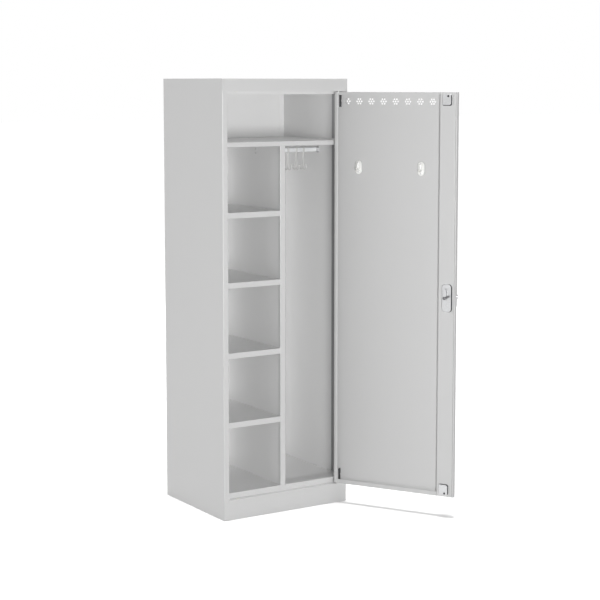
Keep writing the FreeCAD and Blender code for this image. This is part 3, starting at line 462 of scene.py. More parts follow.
def pick(test, kind="FACE"):
    """Selects the faces, edges or vertices for which the test is true; stays in edit mode."""
    bpy.ops.mesh.select_mode(type=kind)
    bpy.ops.mesh.select_all(action="DESELECT")
    leave()
    mesh = bpy.context.object.data
    if kind == "FACE":
        chosen = [f for f in mesh.polygons if test(f.center, f.normal)]
    elif kind == "EDGE":
        ends = [(e, mesh.vertices[e.vertices[0]].co, mesh.vertices[e.vertices[1]].co)
                for e in mesh.edges]
        chosen = [e for e, a, b in ends if test(a, b)]
    else:
        chosen = [v for v in mesh.vertices if test(v.co, v.normal)]
    for item in chosen:
        item.select = True
    edit()


print("things closer than", NEAR, "m to a level are picked with it")


# %% Settling, closing and rounding a piece
def smooth(angle):
    """Smooth shading, with edges sharper than this many degrees left sharp."""
    bpy.ops.object.shade_smooth_by_angle(angle=math.radians(angle))


def settle():
    """Back to object mode, with the place of the object in its mesh."""
    leave()
    bpy.ops.object.transform_apply(location=True, rotation=True, scale=True)
    return bpy.context.object


def close_up(piece):
    """Merges doubled points and turns all faces outwards."""
    take(piece)
    edit()
    pick_all()
    bpy.ops.mesh.remove_doubles(threshold=SAME)
    bpy.ops.mesh.normals_make_consistent(inside=False)
    leave()


def even_out(piece, angle=35):
    """Smooth shading that keeps large flat faces flat, by weighing normals by face area."""
    take(piece)
    smooth(angle)
    weigh = piece.modifiers.new("weigh", "WEIGHTED_NORMAL")
    weigh.weight = 100
    weigh.keep_sharp = True
    bpy.ops.object.modifier_apply(modifier=weigh.name)


def round_edges(piece, width, steps, angle=35):
    """A bevel on the sharp edges, applied, then smooth shading."""
    take(piece)
    bevel = piece.modifiers.new("round", "BEVEL")
    bevel.width = width
    bevel.segments = steps
    bevel.limit_method = "ANGLE"
    bevel.angle_limit = math.radians(angle)
    bpy.ops.object.modifier_apply(modifier=bevel.name)
    even_out(piece, angle)


print("rounding helpers ready")

# %% Copying, joining and placing a finished piece
DOOR_BODIES = ("door", "handle", "cylinder")


def joined(pieces):
    """The first piece, with the others joined to it."""
    take(*pieces)
    bpy.ops.object.join()
    return pieces[0]


def mesh_box(piece):
    """Corners of a piece's mesh, rounded to a tenth of a millimetre."""
    return [tuple(round(v, 4) for v in c)
            for c in corners([v.co for v in piece.data.vertices])]


def put(piece, name, body, slot, stands_for=(), material=None):
    """Turns a finished piece to its place, dresses it and lets it ride on its body."""
    piece.name = name
    piece.data.name = name
    piece.data.transform(door_turn if body in DOOR_BODIES else carcass_turn)
    piece.data.materials.clear()
    piece.data.materials.append(material or FINISHES[slot])
    if stands_for:
        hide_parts(*stands_for)
    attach(piece, body)
    return piece


def copy_of(piece, move):
    """Another copy with its own mesh, moved by a matrix."""
    twin = piece.copy()
    twin.data = piece.data.copy()
    twin.data.transform(move)
    scene.collection.objects.link(twin)
    return twin


print("placing helpers ready; the door carries", DOOR_BODIES)

# %% [markdown]
# ## Coat hooks
# Two white plastic hooks are screwed to the inside of the door. The real one is moulded in one
# piece: an oval back plate with a soft rim, and a prong that grows out of it with a wide root,
# turns upwards and ends in a rounded, slightly thicker tip. A cylinder pulled apart at its
# middle makes the oval, and a circle, extruded and spun upwards, makes the prong.

# %% Measure the hook
hook_low, hook_high = closed_box("coat_hook_hinge_side")
hook_middle = (hook_low + hook_high) / 2
plate_wide = hook_high.x - hook_low.x
plate_tall = hook_high.z - hook_low.z
skin_y = hook_low.y
print("hook", round(plate_wide * 1000), "x", round(plate_tall * 1000), "mm")

# %% The oval back plate
PLATE_THICK = 0.0048


def pull_apart(middle_z, reach):
    """Lifts the upper half and lowers the lower half, which makes an oval of a circle."""
    pick(lambda p, n: p.z > middle_z + NEAR, "VERT")
    bpy.ops.transform.translate(value=(0, 0, reach))
    pick(lambda p, n: p.z < middle_z - NEAR, "VERT")
    bpy.ops.transform.translate(value=(0, 0, -reach))


def hook_plate():
    """An oval plate with a crowned face and a soft rim."""
    start()
    bpy.ops.mesh.primitive_cylinder_add(vertices=48, radius=plate_wide / 2, depth=PLATE_THICK,
                                        location=(hook_middle.x, skin_y + PLATE_THICK / 2,
                                                  hook_middle.z),
                                        rotation=(math.radians(90), 0, 0))
    plate = settle()
    edit()
    pull_apart(hook_middle.z, (plate_tall - plate_wide) / 2)
    front = skin_y + PLATE_THICK
    pick(lambda p, n: n.y > 0.9 and p.y > front - NEAR)
    bpy.ops.mesh.inset(thickness=0.0035, depth=0.0006)
    bpy.ops.mesh.inset(thickness=0.004, depth=0.0003)
    leave()
    return plate


plate = hook_plate()
print("plate has", len(plate.data.polygons), "faces")

# %% The prong
PRONG_RADIUS = 0.0055
# Each step of the arm: how far it grows, in metres, and how much wider or narrower it gets.
ROOT_STEPS = ((0.0026, 0.98), (0.0020, 0.84), (0.0030, 0.84), (0.0052, 0.88), (0.0052, 0.97))
TIP_STEPS = ((0.004, 1.02), (0.004, 1.08), (0.003, 1.08), (0.0025, 0.97), (0.0020, 0.84),
             (0.0012, 0.66), (0.0005, 0.5))


def grow_up(steps):
    """Extrudes what is selected upwards, step by step."""
    for rise, grow in steps:
        bpy.ops.mesh.extrude_region_move(TRANSFORM_OT_translate={"value": (0, 0, rise)})
        bpy.ops.transform.resize(value=(grow, grow, 1))


def hook_prong():
    """A round arm with a wide root that turns upwards to a rounded tip."""
    start()
    low = hook_middle.z - plate_tall / 8
    root_y = skin_y + PLATE_THICK * 0.5
    bpy.ops.mesh.primitive_circle_add(vertices=24, radius=PRONG_RADIUS * 1.7, fill_type="NGON",
                                      location=(hook_middle.x, root_y, low),
                                      rotation=(math.radians(90), 0, 0))
    prong = settle()
    edit()
    pick_all()
    for reach, grow in ROOT_STEPS:
        bpy.ops.mesh.extrude_region_move(TRANSFORM_OT_translate={"value": (0, reach, 0)})
        bpy.ops.transform.resize(value=(grow, 1, grow))
    far = root_y + sum(reach for reach, grow in ROOT_STEPS)
    turn = hook_high.y - PRONG_RADIUS * 1.15 - far
    bpy.ops.mesh.spin(steps=9, angle=math.radians(90), center=(hook_middle.x, far, low + turn),
                      axis=(1, 0, 0))
    grow_up(TIP_STEPS)
    leave()
    return prong


prong = hook_prong()
print("prong box:", mesh_box(prong))

# %% Join plate and prong, and hang one on each side
joined([plate, prong])
close_up(plate)
soften = plate.modifiers.new("soften", "SUBSURF")
soften.levels = 1
soften.render_levels = 1
bpy.ops.object.modifier_apply(modifier=soften.name)
bpy.ops.object.shade_smooth()
side_step = closed_box("coat_hook_lock_side")[0] - hook_low
second = copy_of(plate, Matrix.Translation(side_step))
put(plate, "moulded_coat_hook_hinge_side", "door", "white_plastic", ["coat_hook_hinge_side"])
put(second, "moulded_coat_hook_lock_side", "door", "white_plastic", ["coat_hook_lock_side"])
print("coat hooks:", len(plate.data.polygons), "faces each")

# %% [markdown]
# ## Sliding hooks on the rail
# The rail carries three white plastic hooks. Each is a flat ring that slides on the oval bar,
# with a round stem and a double hook below it, like an anchor. The ring is a tube pulled to an
# oval. The stem and one arm grow from a circle by extrusion and spin, and the arm is mirrored.

# %% Measure the rail and a hook
rail_low, rail_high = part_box("clothes_rail")
rail_middle = (Vector(rail_low) + Vector(rail_high)) / 2
ring_low, ring_high = (Vector(c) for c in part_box("rail_hook_1"))
ring_x = (ring_low.x + ring_high.x) / 2
print("hook reaches", round((rail_low[2] - ring_low.z) * 1000), "mm below the rail")

# %% The sliding ring
RING_GAP = 0.0004
RING_WALL = 0.0023


def sliding_ring():
    """An oval band round the rail."""
    start()
    thick = rail_high[1] - rail_low[1]
    tall = rail_high[2] - rail_low[2]
    band = ring_high.x - ring_low.x
    bpy.ops.mesh.primitive_cylinder_add(vertices=40, radius=thick / 2 + RING_GAP, depth=band,
                                        end_fill_type="NOTHING",
                                        location=(ring_x, rail_middle.y, rail_middle.z),
                                        rotation=(0, math.radians(90), 0))
    ring = settle()
    edit()
    pull_apart(rail_middle.z, (tall - thick) / 2)
    pick_all()
    bpy.ops.mesh.normals_make_consistent(inside=False)
    leave()
    wall = ring.modifiers.new("wall", "SOLIDIFY")
    wall.thickness = RING_WALL
    wall.offset = 1.0
    bpy.ops.object.modifier_apply(modifier=wall.name)
    close_up(ring)
    round_edges(ring, 0.0006, 3)
    return ring


ring = sliding_ring()
print("ring box:", mesh_box(ring))

# %% The stem with its double bowl
WIRE = 0.0021            # radius of the stem and the arms
BALL_STEPS = ((0.0020, 1.0), (0.0015, 1.12), (0.0010, 1.15), (0.0012, 1.08), (0.0012, 0.97),
              (0.0010, 0.8), (0.0006, 0.55))


def anchor_arm():
    """One upturned arm with a ball tip, with the level where it leaves the stem."""
    start()
    bowl = (ring_high.y - ring_low.y) / 4 - WIRE * 0.9
    centre_z = ring_low.z + bowl + WIRE
    bpy.ops.mesh.primitive_circle_add(vertices=16, radius=WIRE, fill_type="NGON",
                                      location=(ring_x, rail_middle.y, centre_z))
    arm = settle()
    edit()
    pick_all()
    bpy.ops.mesh.spin(steps=16, angle=math.radians(-180),
                      center=(ring_x, rail_middle.y + bowl, centre_z), axis=(1, 0, 0))
    grow_up(BALL_STEPS)
    leave()
    return arm, centre_z


arm, bowl_z = anchor_arm()
print("arm box:", mesh_box(arm))

# %% Mirror the arm, add the stem, and hang three hooks
start()
mirror = Matrix.Translation((0, 2 * rail_middle.y, 0)) @ Matrix.Diagonal((1, -1, 1, 1))
other = copy_of(arm, mirror)
stem_top = rail_low[2] - RING_GAP - RING_WALL * 0.6
bpy.ops.mesh.primitive_cylinder_add(vertices=16, radius=WIRE, depth=stem_top - bowl_z,
                                    location=(ring_x, rail_middle.y, (stem_top + bowl_z) / 2))
stem = settle()
edit()
pick(lambda p, n: n.z > 0.9)
bpy.ops.transform.resize(value=(1.7, 1.5, 1))
pick_all()
bpy.ops.mesh.subdivide(number_cuts=2)
leave()
smooth(50)
for piece in (arm, other):
    close_up(piece)
    smooth(50)
hooks = [joined([ring, arm, other, stem])]
for number in (2, 3):
    step = Vector(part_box("rail_hook_%d" % number)[0]) - ring_low
    hooks.append(copy_of(ring, Matrix.Translation(step)))
for number, hook in enumerate(hooks, 1):
    put(hook, "sliding_hook_%d" % number, "hook_%d" % number, "white_plastic",
        ["rail_hook_%d" % number], material=hook_plastic)
print("sliding hooks:", len(hooks), "with", len(ring.data.polygons), "faces each")

# %% [markdown]
# ## Shapes that repeat on the lock and the hinges
# Most fittings are one of two shapes. Turned parts, such as a nut or a round rose, come from a
# profile spun about a line, as on a lathe. Pressed and moulded plates come from a block whose
# upright corners are bevelled wide and whose rim is bevelled fine. Both helpers work in the
# closed door's directions, with Y pointing into the cabinet.


# %% A lathe
SEED = 0.001             # size of the plane whose last corner draws the profile


def turned(profile, centre, steps=48):
    """Spins (out, along) points about a line through the centre that points along Y."""
    start()
    bpy.ops.mesh.primitive_plane_add(size=SEED)
    piece = bpy.context.object
    edit()
    pick(lambda p, n: p.x < 0 or p.y < 0, "VERT")
    bpy.ops.mesh.delete(type="VERT")
    pick_all()
    spots = [Vector((centre[0] + out, centre[1] + along, centre[2])) for out, along in profile]
    here = Vector((SEED / 2, SEED / 2, 0))
    bpy.ops.transform.translate(value=spots[0] - here)
    for before, after in zip(spots, spots[1:]):
        bpy.ops.mesh.extrude_vertices_move(TRANSFORM_OT_translate={"value": after - before})
    pick_all()
    bpy.ops.mesh.spin(steps=steps, angle=math.radians(360), center=centre, axis=(0, 1, 0))
    leave()
    close_up(piece)
    return piece


def middle_at(low, high, y):
    """The middle of a box, at the depth y, where a lathe's line passes."""
    return (low.x + high.x) / 2, y, (low.z + high.z) / 2


print("lathe ready")

# %% A moulded plate and its pressed border
RIM_STEPS = 4


def moulded_plate(low, high, corner, rim, front=True, steps=8):
    """A block with wide round corners and a soft rim on the face that looks along +Y or -Y."""
    start()
    middle = (low + high) / 2
    bpy.ops.mesh.primitive_cube_add(size=1, location=middle)
    bpy.context.object.scale = high - low
    plate = settle()
    edit()
    pick(lambda a, b: abs(a.x - b.x) < SAME and abs(a.z - b.z) < SAME, "EDGE")
    bpy.ops.mesh.bevel(offset=corner, segments=steps, affect="EDGES", clamp_overlap=True)
    soften_rim(high.y if front else low.y, rim)
    leave()
    return plate


def soften_rim(level, width):
    """Bevels the edges that lie in the plane y = level."""
    pick(lambda a, b: abs(a.y - level) < SAME and abs(b.y - level) < SAME, "EDGE")
    bpy.ops.mesh.bevel(offset=width, segments=RIM_STEPS, affect="EDGES")


def press_border(piece, level, width, step, depth):
    """Insets the flat face at y = level twice, with a faint step at the second inset."""
    take(piece)
    edit()
    pick(lambda p, n: n.y > 0.99 and p.y > level - NEAR)
    bpy.ops.mesh.inset(thickness=width, depth=0)
    bpy.ops.mesh.inset(thickness=step, depth=depth)
    leave()


print("press ready, with", RIM_STEPS, "steps round a rim")


# %% Cut and weld
def combine(piece, tool, operation):
    """Applies a Boolean with a tool, and removes the tool."""
    take(piece)
    boolean = piece.modifiers.new("boolean", "BOOLEAN")
    boolean.object = tool
    boolean.operation = operation
    boolean.solver = "EXACT"
    bpy.ops.object.modifier_apply(modifier=boolean.name)
    bpy.data.objects.remove(tool)


def cut_with(piece, tool):
    """Cuts a tool out of a piece."""
    combine(piece, tool, "DIFFERENCE")


def add_to(piece, tool):
    """Melts a second shape into a piece."""
    combine(piece, tool, "UNION")


def drum(radius, low_y, high_y, x, z, vertices=48):
    """A plain round block along Y, as a tool for cuts and welds."""
    start()
    bpy.ops.mesh.primitive_cylinder_add(vertices=vertices, radius=radius, depth=high_y - low_y,
                                        location=(x, (low_y + high_y) / 2, z),
                                        rotation=(math.radians(90), 0, 0))
    return settle()


def block(low, high, tilt=0.0):
    """A plain block between two corners, tilted about Y, as a tool for cuts and welds."""
    start()
    bpy.ops.mesh.primitive_cube_add(size=1, location=(Vector(low) + Vector(high)) / 2)
    bpy.context.object.scale = Vector(high) - Vector(low)
    bpy.context.object.rotation_euler = (0, tilt, 0)
    return settle()


print("tools for cutting and welding ready")

# %% [markdown]
# ## The lock case on the door's channel
# The case is a shallow pressed cover with wide round corners and a hole for the spindle.
# Pressing leaves a soft rim and a faint raised border, which we make with two insets.

# %% Lock case
CASE_CORNER = 0.0138
CASE_RIM = 0.0022
CASE_BORDER = (0.0022, 0.0010, -0.0005)   # width, width of its step, and the step's height
SPINDLE_HOLE = 0.0079    # radius
PAST = 0.001             # how far a cutting tool reaches past what it cuts

case_low, case_high = closed_box("lock_case")
spindle_low, spindle_high = closed_box("spindle")
spindle_x = (spindle_low.x + spindle_high.x) / 2
spindle_z = (spindle_low.z + spindle_high.z) / 2
case = moulded_plate(case_low, case_high, CASE_CORNER, CASE_RIM)
press_border(case, case_high.y, *CASE_BORDER)
cut_with(case, drum(SPINDLE_HOLE, case_low.y - PAST, case_high.y + PAST, spindle_x, spindle_z))
close_up(case)
even_out(case)
put(case, "pressed_lock_case", "door", "zinc", ["lock_case"])
print("lock case:", len(case.data.polygons), "faces")

# %% [markdown]
# ## Guides for the lock rods
# At each end of the channel a die-cast plate guides the round end of a rod. It has rounded
# corners, a faint raised border and a black plastic plug at its outer end.

# %% Rod guides and their plugs
GUIDE_CORNER = 0.0088
GUIDE_RIM = 0.0020
GUIDE_BORDER = (0.0025, 0.0012, -0.0006)
PLUG_SINK = 0.0006       # how far a plug sits in its guide

for end in ("top", "bottom"):
    low, high = closed_box("rod_guide_" + end)
    guide = moulded_plate(low, high, GUIDE_CORNER, GUIDE_RIM)
    press_border(guide, high.y, *GUIDE_BORDER)
    close_up(guide)
    even_out(guide)
    put(guide, "cast_rod_guide_" + end, "door", "zinc", ["rod_guide_" + end])
    low, high = closed_box("guide_nose_" + end)
    radius, rise = (high.z - low.z) / 2, high.y - low.y
    plug = turned([(0, -PLUG_SINK), (radius, -PLUG_SINK), (radius, rise * 0.45),
                   (radius * 0.88, rise * 0.8), (radius * 0.6, rise * 0.97), (0, rise)],
                  middle_at(low, high, low.y), 32)
    smooth(40)
    put(plug, "guide_plug_" + end, "door", "black_plastic", ["guide_nose_" + end])
print("guides:", len(guide.data.polygons), "faces; plugs:", len(plug.data.polygons), "faces")

# %% [markdown]
# ## Painted shade along the guides and the case
# Along its lock side and one end, each guide, and the lock case, gets a thin black crescent. It
# is painted shade: it darkens the edges that turn away from the light. The strip follows the
# plate's outline. We make it by taking a plate of the same outline and cutting away a copy that
# is shifted inwards, so a thin crescent is left.


# %% Strips of painted shade
STRIP_PROUD = 0.0003
STRIP_DEEP = 0.0030
STRIP_RIM = 0.0004
CASE_SHADE_STRIP = 0.0036      # width of the crescent
GUIDE_SHADE_STRIP = 0.0030
WELL_PAST = 0.004        # keeps the round corners of the cutting plate off the strip


def painted_shade_crescent(low, high, corner, shift_x, shift_z):
    """What is left of a plate's outline when a shifted copy of it is cut away."""
    face = high.y + STRIP_PROUD
    base = Vector((low.x, high.y - STRIP_DEEP, low.z))
    strip = moulded_plate(base, Vector((high.x, face, high.z)), corner, STRIP_RIM)
    inner_low = Vector((low.x + shift_x, base.y - PAST, low.z))
    inner_high = Vector((high.x + WELL_PAST, face + 2 * PAST, high.z))
    if shift_z > 0:
        inner_low.z += shift_z
        inner_high.z += WELL_PAST
    elif shift_z < 0:
        inner_low.z -= WELL_PAST
        inner_high.z += shift_z
    cut_with(strip, moulded_plate(inner_low, inner_high, corner, STRIP_RIM))
    close_up(strip)
    even_out(strip)
    return strip


# Black crescents as painted shade along the edges of the lock case and the guides.
strip = painted_shade_crescent(case_low, case_high, CASE_CORNER, CASE_SHADE_STRIP, 0)
put(strip, "case_painted_shade_strip", "door", "black_plastic")
for end, way in (("top", 1), ("bottom", -1)):
    low, high = closed_box("rod_guide_" + end)
    strip = painted_shade_crescent(low, high, GUIDE_CORNER, GUIDE_SHADE_STRIP, GUIDE_SHADE_STRIP * way)
    put(strip, "guide_painted_shade_strip_" + end, "door", "black_plastic")
print("strips:", len(strip.data.polygons), "faces")

# %% [markdown]
# ## The latch cam and its nut
# A flat steel cam sits on the spindle's inner end, held by a domed nut. It is stamped from strip,
# so it is a union of discs and a bar with only a slight rounding of its edges. A short dark ear
# lies on it and reaches towards the door's free edge.

# %% Latch cam
CAM_HALF = 0.007         # half the width of its arm
CAM_BOSS = 0.002         # how much wider it is round the spindle
STAMPED = (0.0004, 2, 60)   # width, steps and least angle of a stamped piece's round edges

cam_low, cam_high = closed_box("latch_cam")
cam_thick = (cam_low.y, cam_high.y)
tip_z = cam_high.z - CAM_HALF
cam = drum(CAM_HALF + CAM_BOSS, *cam_thick, spindle_x, spindle_z)
add_to(cam, drum(CAM_HALF, *cam_thick, spindle_x, tip_z))
add_to(cam, block((spindle_x - CAM_HALF, cam_thick[0], spindle_z),
                  (spindle_x + CAM_HALF, cam_thick[1], tip_z)))
close_up(cam)
round_edges(cam, *STAMPED)
put(cam, "stamped_latch_cam", "handle", "zinc", ["latch_cam"])
print("cam:", len(cam.data.polygons), "faces")

# %% The oiled ear on the cam
EAR_TILT = math.radians(23.5)
EAR_PROUD = 0.0004
EAR_SHARE = 0.6          # of the cam arm's width

ear_half = CAM_HALF * EAR_SHARE
ear_x = cam_low.x + ear_half
ear_z = spindle_z + (spindle_x - ear_x) * math.tan(EAR_TILT)
ear_run = math.hypot(ear_x - spindle_x, ear_z - spindle_z)
ear_middle = ((ear_x + spindle_x) / 2, (ear_z + spindle_z) / 2)
ear_thick = (cam_thick[0], cam_thick[1] + EAR_PROUD)
ear = drum(ear_half, *ear_thick, ear_x, ear_z)
add_to(ear, block((ear_middle[0] - ear_run / 2, ear_thick[0], ear_middle[1] - ear_half),
                  (ear_middle[0] + ear_run / 2, ear_thick[1], ear_middle[1] + ear_half), EAR_TILT))
close_up(ear)
round_edges(ear, *STAMPED)
put(ear, "oiled_cam_ear", "handle", "zinc", material=dark_steel)
print("ear:", len(ear.data.polygons), "faces")

# %% Domed nut
low, high = closed_box("spindle_nut")
radius, rise = (high.z - low.z) / 2, high.y - low.y
nut = turned([(0, 0), (radius * 0.96, 0), (radius, 0.0004), (radius, rise * 0.42),
              (radius * 0.93, rise * 0.62), (radius * 0.78, rise * 0.82),
              (radius * 0.5, rise * 0.96), (0, rise)],
             middle_at(low, high, low.y), 40)
smooth(35)
put(nut, "domed_spindle_nut", "handle", "zinc", ["spindle_nut"], material=dark_steel)
print("nut:", len(nut.data.polygons), "faces")

# %% [markdown]
# ## The turn handle outside
# On the front of the door a satin-chromed wing handle turns the lock. Its rose is turned on a
# lathe. The wing is cast: a bar with round ends and soft rims, on a neck that widens into it.

# %% The rose
ROSE_BORE = 0.0091       # radius

low, high = closed_box("handle_rosette")
outer = (high.z - low.z) / 2
thick = high.y - low.y
rose = turned([(ROSE_BORE, 0), (outer, 0), (outer, -thick * 0.25),
               (outer * 0.975, -thick * 0.45), (outer * 0.90, -thick * 0.72),
               (outer * 0.78, -thick * 0.93), (outer * 0.66, -thick),
               (ROSE_BORE, -thick), (ROSE_BORE, 0)], middle_at(low, high, high.y), 72)
smooth(35)
put(rose, "turned_handle_rose", "door", "chrome", ["handle_rosette"])
print("rose:", len(rose.data.polygons), "faces")

# %% The wing and its neck
GRIP_THICK = 0.014
GRIP_FLAT = 0.0005       # what the round ends leave straight
GRIP_RIMS = (0.0035, 0.0022)   # width of the front rim and of the back rim
CYLINDER_PLAY = 0.0001   # gap round the key cylinder
CYLINDER_DEEP = 0.0105   # how deep it sits in the wing

wing_low, wing_high = closed_box("turn_handle")
barrel_low, barrel_high = closed_box("lock_cylinder")
barrel_radius = (barrel_high.z - barrel_low.z) / 2
grip_back = wing_low.y + GRIP_THICK
wing = moulded_plate(wing_low, Vector((wing_high.x, grip_back, wing_high.z)),
                     (wing_high.z - wing_low.z) / 2 - GRIP_FLAT, GRIP_RIMS[0], front=False,
                     steps=12)
edit()
soften_rim(grip_back, GRIP_RIMS[1])
leave()
neck_reach = wing_high.y - wing_low.y
neck = turned([(0, 0.0120), (0.0122, 0.0120), (0.0118, 0.0142), (0.0105, 0.0160),
               (0.0095, 0.0185), (0.0090, 0.0220), (0.0090, neck_reach), (0, neck_reach)],
              (spindle_x, wing_low.y, spindle_z))
add_to(wing, neck)
cut_with(wing, drum(barrel_radius + CYLINDER_PLAY, wing_low.y - PAST,
                    wing_low.y + CYLINDER_DEEP, spindle_x, spindle_z, 64))
close_up(wing)
even_out(wing)
put(wing, "cast_wing_handle", "handle", "chrome", ["turn_handle"])
print("wing:", len(wing.data.polygons), "faces")

# %% The key cylinder with its keyway
KEYWAY_HALF = 0.0007     # half the width of the slit
KEYWAY_TALL = 0.0040     # half its height
KEYWAY_DEEP = 0.004

front = barrel_low.y
long = barrel_high.y - barrel_low.y
barrel = turned([(0, 0), (barrel_radius * 0.55, 0), (barrel_radius * 0.60, 0.0004),
                 (barrel_radius * 0.66, 0.0004), (barrel_radius * 0.70, 0),
                 (barrel_radius * 0.93, 0), (barrel_radius, 0.0006), (barrel_radius, long),
                 (0, long)], (spindle_x, front, spindle_z), 56)
# The slit, then the small step to its left that a key's groove slides over.
for left, low_z, high_z in ((KEYWAY_HALF, -KEYWAY_TALL, KEYWAY_TALL), (0.0013, -0.0012, 0.0008)):
    cut_with(barrel, block((spindle_x - left, front - 2 * PAST, spindle_z + low_z),
                           (spindle_x + KEYWAY_HALF, front + KEYWAY_DEEP, spindle_z + high_z)))
close_up(barrel)
smooth(35)
put(barrel, "key_cylinder", "cylinder", "chrome", ["lock_cylinder"])
print("cylinder:", len(barrel.data.polygons), "faces")

# %% [markdown]
# ## Hinge housings
# In each corner of the door's hinge side a painted steel bracket holds the hinge pin, and a
# narrow black plastic block clamps it from the side. The block is moulded with soft edges and a
# waist in its middle. Both start as blocks and are rounded by a bevel. The black one is first
# cut across with bisect, which gives its waist corners.


# %% Hinge housings
BLOCK_WIDE = 0.0030
PIN_BORE = 0.00405       # radius
WAIST = (-0.0055, -0.0035, 0.0035, 0.0055)   # where the waist begins and ends
WAIST_HALF = 0.004       # picks the points of its narrow part
WAIST_DEEP = 0.0012
BRACKET_SHORT = 0.002    # how much lower the bracket is at each end
BRACKET_BACK = 0.0006


def bored(piece, pin_name):
    """Cuts the pin's bore out of a piece and shades it."""
    pin_low, pin_high = closed_box(pin_name)
    start()
    bpy.ops.mesh.primitive_cylinder_add(vertices=40, radius=PIN_BORE, depth=0.3,
                                        location=(pin_low + pin_high) / 2)
    cut_with(piece, settle())
    close_up(piece)
    even_out(piece)


def hinge_block(low, high):
    """A soft black block with a waist."""
    body = block(low, high)
    middle = (low.z + high.z) / 2
    edit()
    for step in WAIST:
        pick_all()
        bpy.ops.mesh.bisect(plane_co=(0, 0, middle + step), plane_no=(0, 0, 1))
    pick(lambda p, n: p.x < low.x + NEAR and abs(p.z - middle) < WAIST_HALF, "VERT")
    bpy.ops.transform.translate(value=(WAIST_DEEP, 0, 0))
    leave()
    round_edges(body, 0.0008, 4, 50)
    return body


for end in ("top", "bottom"):
    low, high = closed_box("hinge_housing_" + end)
    seam = low.x + BLOCK_WIDE
    housing = hinge_block(low, Vector((seam, high.y, high.z)))
    bored(housing, "hinge_pin_" + end)
    put(housing, "moulded_hinge_block_" + end, "door", "black_plastic", ["hinge_housing_" + end])
    bracket = block(Vector((seam, low.y, low.z + BRACKET_SHORT)),
                    high - Vector((0, BRACKET_BACK, BRACKET_SHORT)))
    round_edges(bracket, 0.0010, 3, 50)
    bored(bracket, "hinge_pin_" + end)
    put(bracket, "hinge_bracket_" + end, "door", "door_paint")
print("hinge blocks:", len(housing.data.polygons), "faces; brackets:",
      len(bracket.data.polygons), "faces")

# %% [markdown]
# ## The clothes rail, its cups and the rubber buffers
# The rail is an oval steel tube. Each end sits in a cup with a flat flange. The cup is an oval
# outline, extruded with an inset step between flange and collar. Four rubber domes on the
# lock-side door stop soften the door's closing.


# %% Oval outlines along the rail
def oval_bar(low_x, high_x, half_thick, half_tall):
    """A bar of oval section along X, centred on the rail."""
    start()
    bpy.ops.mesh.primitive_cylinder_add(
        vertices=48, radius=half_thick, depth=high_x - low_x,
        location=((low_x + high_x) / 2, rail_middle.y, rail_middle.z),
        rotation=(0, math.radians(90), 0))
    bar = settle()
    edit()
    pull_apart(rail_middle.z, half_tall - half_thick)
    leave()
    return bar


rail_half = ((rail_high[1] - rail_low[1]) / 2, (rail_high[2] - rail_low[2]) / 2)
rail = oval_bar(rail_low[0], rail_high[0], *rail_half)
smooth(35)
put(rail, "oval_clothes_rail", "carcass", "zinc", ["clothes_rail"], material=rail_steel)
print("rail:", len(rail.data.polygons), "faces")

# %% Rail cups
FLANGE_THICK = 0.003
COLLAR_REACH = 0.009
COLLAR_WALL = 0.0024
BORE_END = 0.013         # how far the bore reaches from the wall
CUP_PLAY = 0.00002

for side in ("left", "right"):
    low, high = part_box("rail_support_" + side)
    way = 1 if side == "left" else -1
    wall_x = low[0] if side == "left" else high[0]
    flange_half = ((high[1] - low[1]) / 2, (high[2] - low[2]) / 2)
    ends = sorted((wall_x, wall_x + way * FLANGE_THICK))
    cup = oval_bar(ends[0], ends[1], *flange_half)
    edit()
    pick(lambda p, n: n.x * way > 0.9)
    bpy.ops.mesh.inset(thickness=flange_half[0] - rail_half[0] - COLLAR_WALL, depth=0)
    bpy.ops.mesh.extrude_region_move(
        TRANSFORM_OT_translate={"value": (way * COLLAR_REACH, 0, 0)})
    leave()
    bore_ends = sorted((wall_x + way * FLANGE_THICK, wall_x + way * BORE_END))
    cut_with(cup, oval_bar(*bore_ends, rail_half[0] + CUP_PLAY, rail_half[1] + CUP_PLAY))
    close_up(cup)
    round_edges(cup, 0.0005, 3, 40)
    put(cup, "rail_cup_" + side, "carcass", "zinc", ["rail_support_" + side])
print("cups:", len(cup.data.polygons), "faces")

# %% Rubber buffers
BUFFER_REACH = 0.05

buffer_bits = separate_bits("door_buffers", carcass_turn, BUFFER_REACH)
low, high = buffer_bits[0]
radius, rise = (high.z - low.z) / 2, high.y - low.y
dome = turned([(0, 0), (radius, 0), (radius, -rise * 0.45), (radius * 0.94, -rise * 0.68),
               (radius * 0.78, -rise * 0.86), (radius * 0.5, -rise * 0.97), (0, -rise)],
              (0, 0, 0), 32)
smooth(40)
domes = [copy_of(dome, Matrix.Translation(middle_at(*bit, bit[1].y))) for bit in buffer_bits]
bpy.data.objects.remove(dome)
put(joined(domes), "rubber_door_buffers", "carcass", "rubber", ["door_buffers"])
print("buffers:", len(buffer_bits))

# %% [markdown]
# ## The rolled hem and a strip of painted shade beside the hinges
# The door's inward lip ends in a rolled hem, so the sheet has no sharp edge beside the hinges.
# Its back is a flat oval, which catches the light in one thin line. Behind it, a thin dark grey
# strip on the cabinet's side wall is painted shade: it darkens the wall where the door's hinge
# edge and the front post shade it. The hem is a cylinder squeezed to an oval and cut in half,
# and the strip is a thin block with a soft rim, in two lengths.

# %% Rolled hem on the hinge lip
HEM_WIDE = 0.0155
HEM_PROUD = 0.0026
HEM_SHORT = 0.002        # how much shorter it is than the door
HEM_SINK = 0.0002        # how far its middle lies inside the door's lip
HEM_CUT = 0.0004         # how far inside the lip it is cut in half

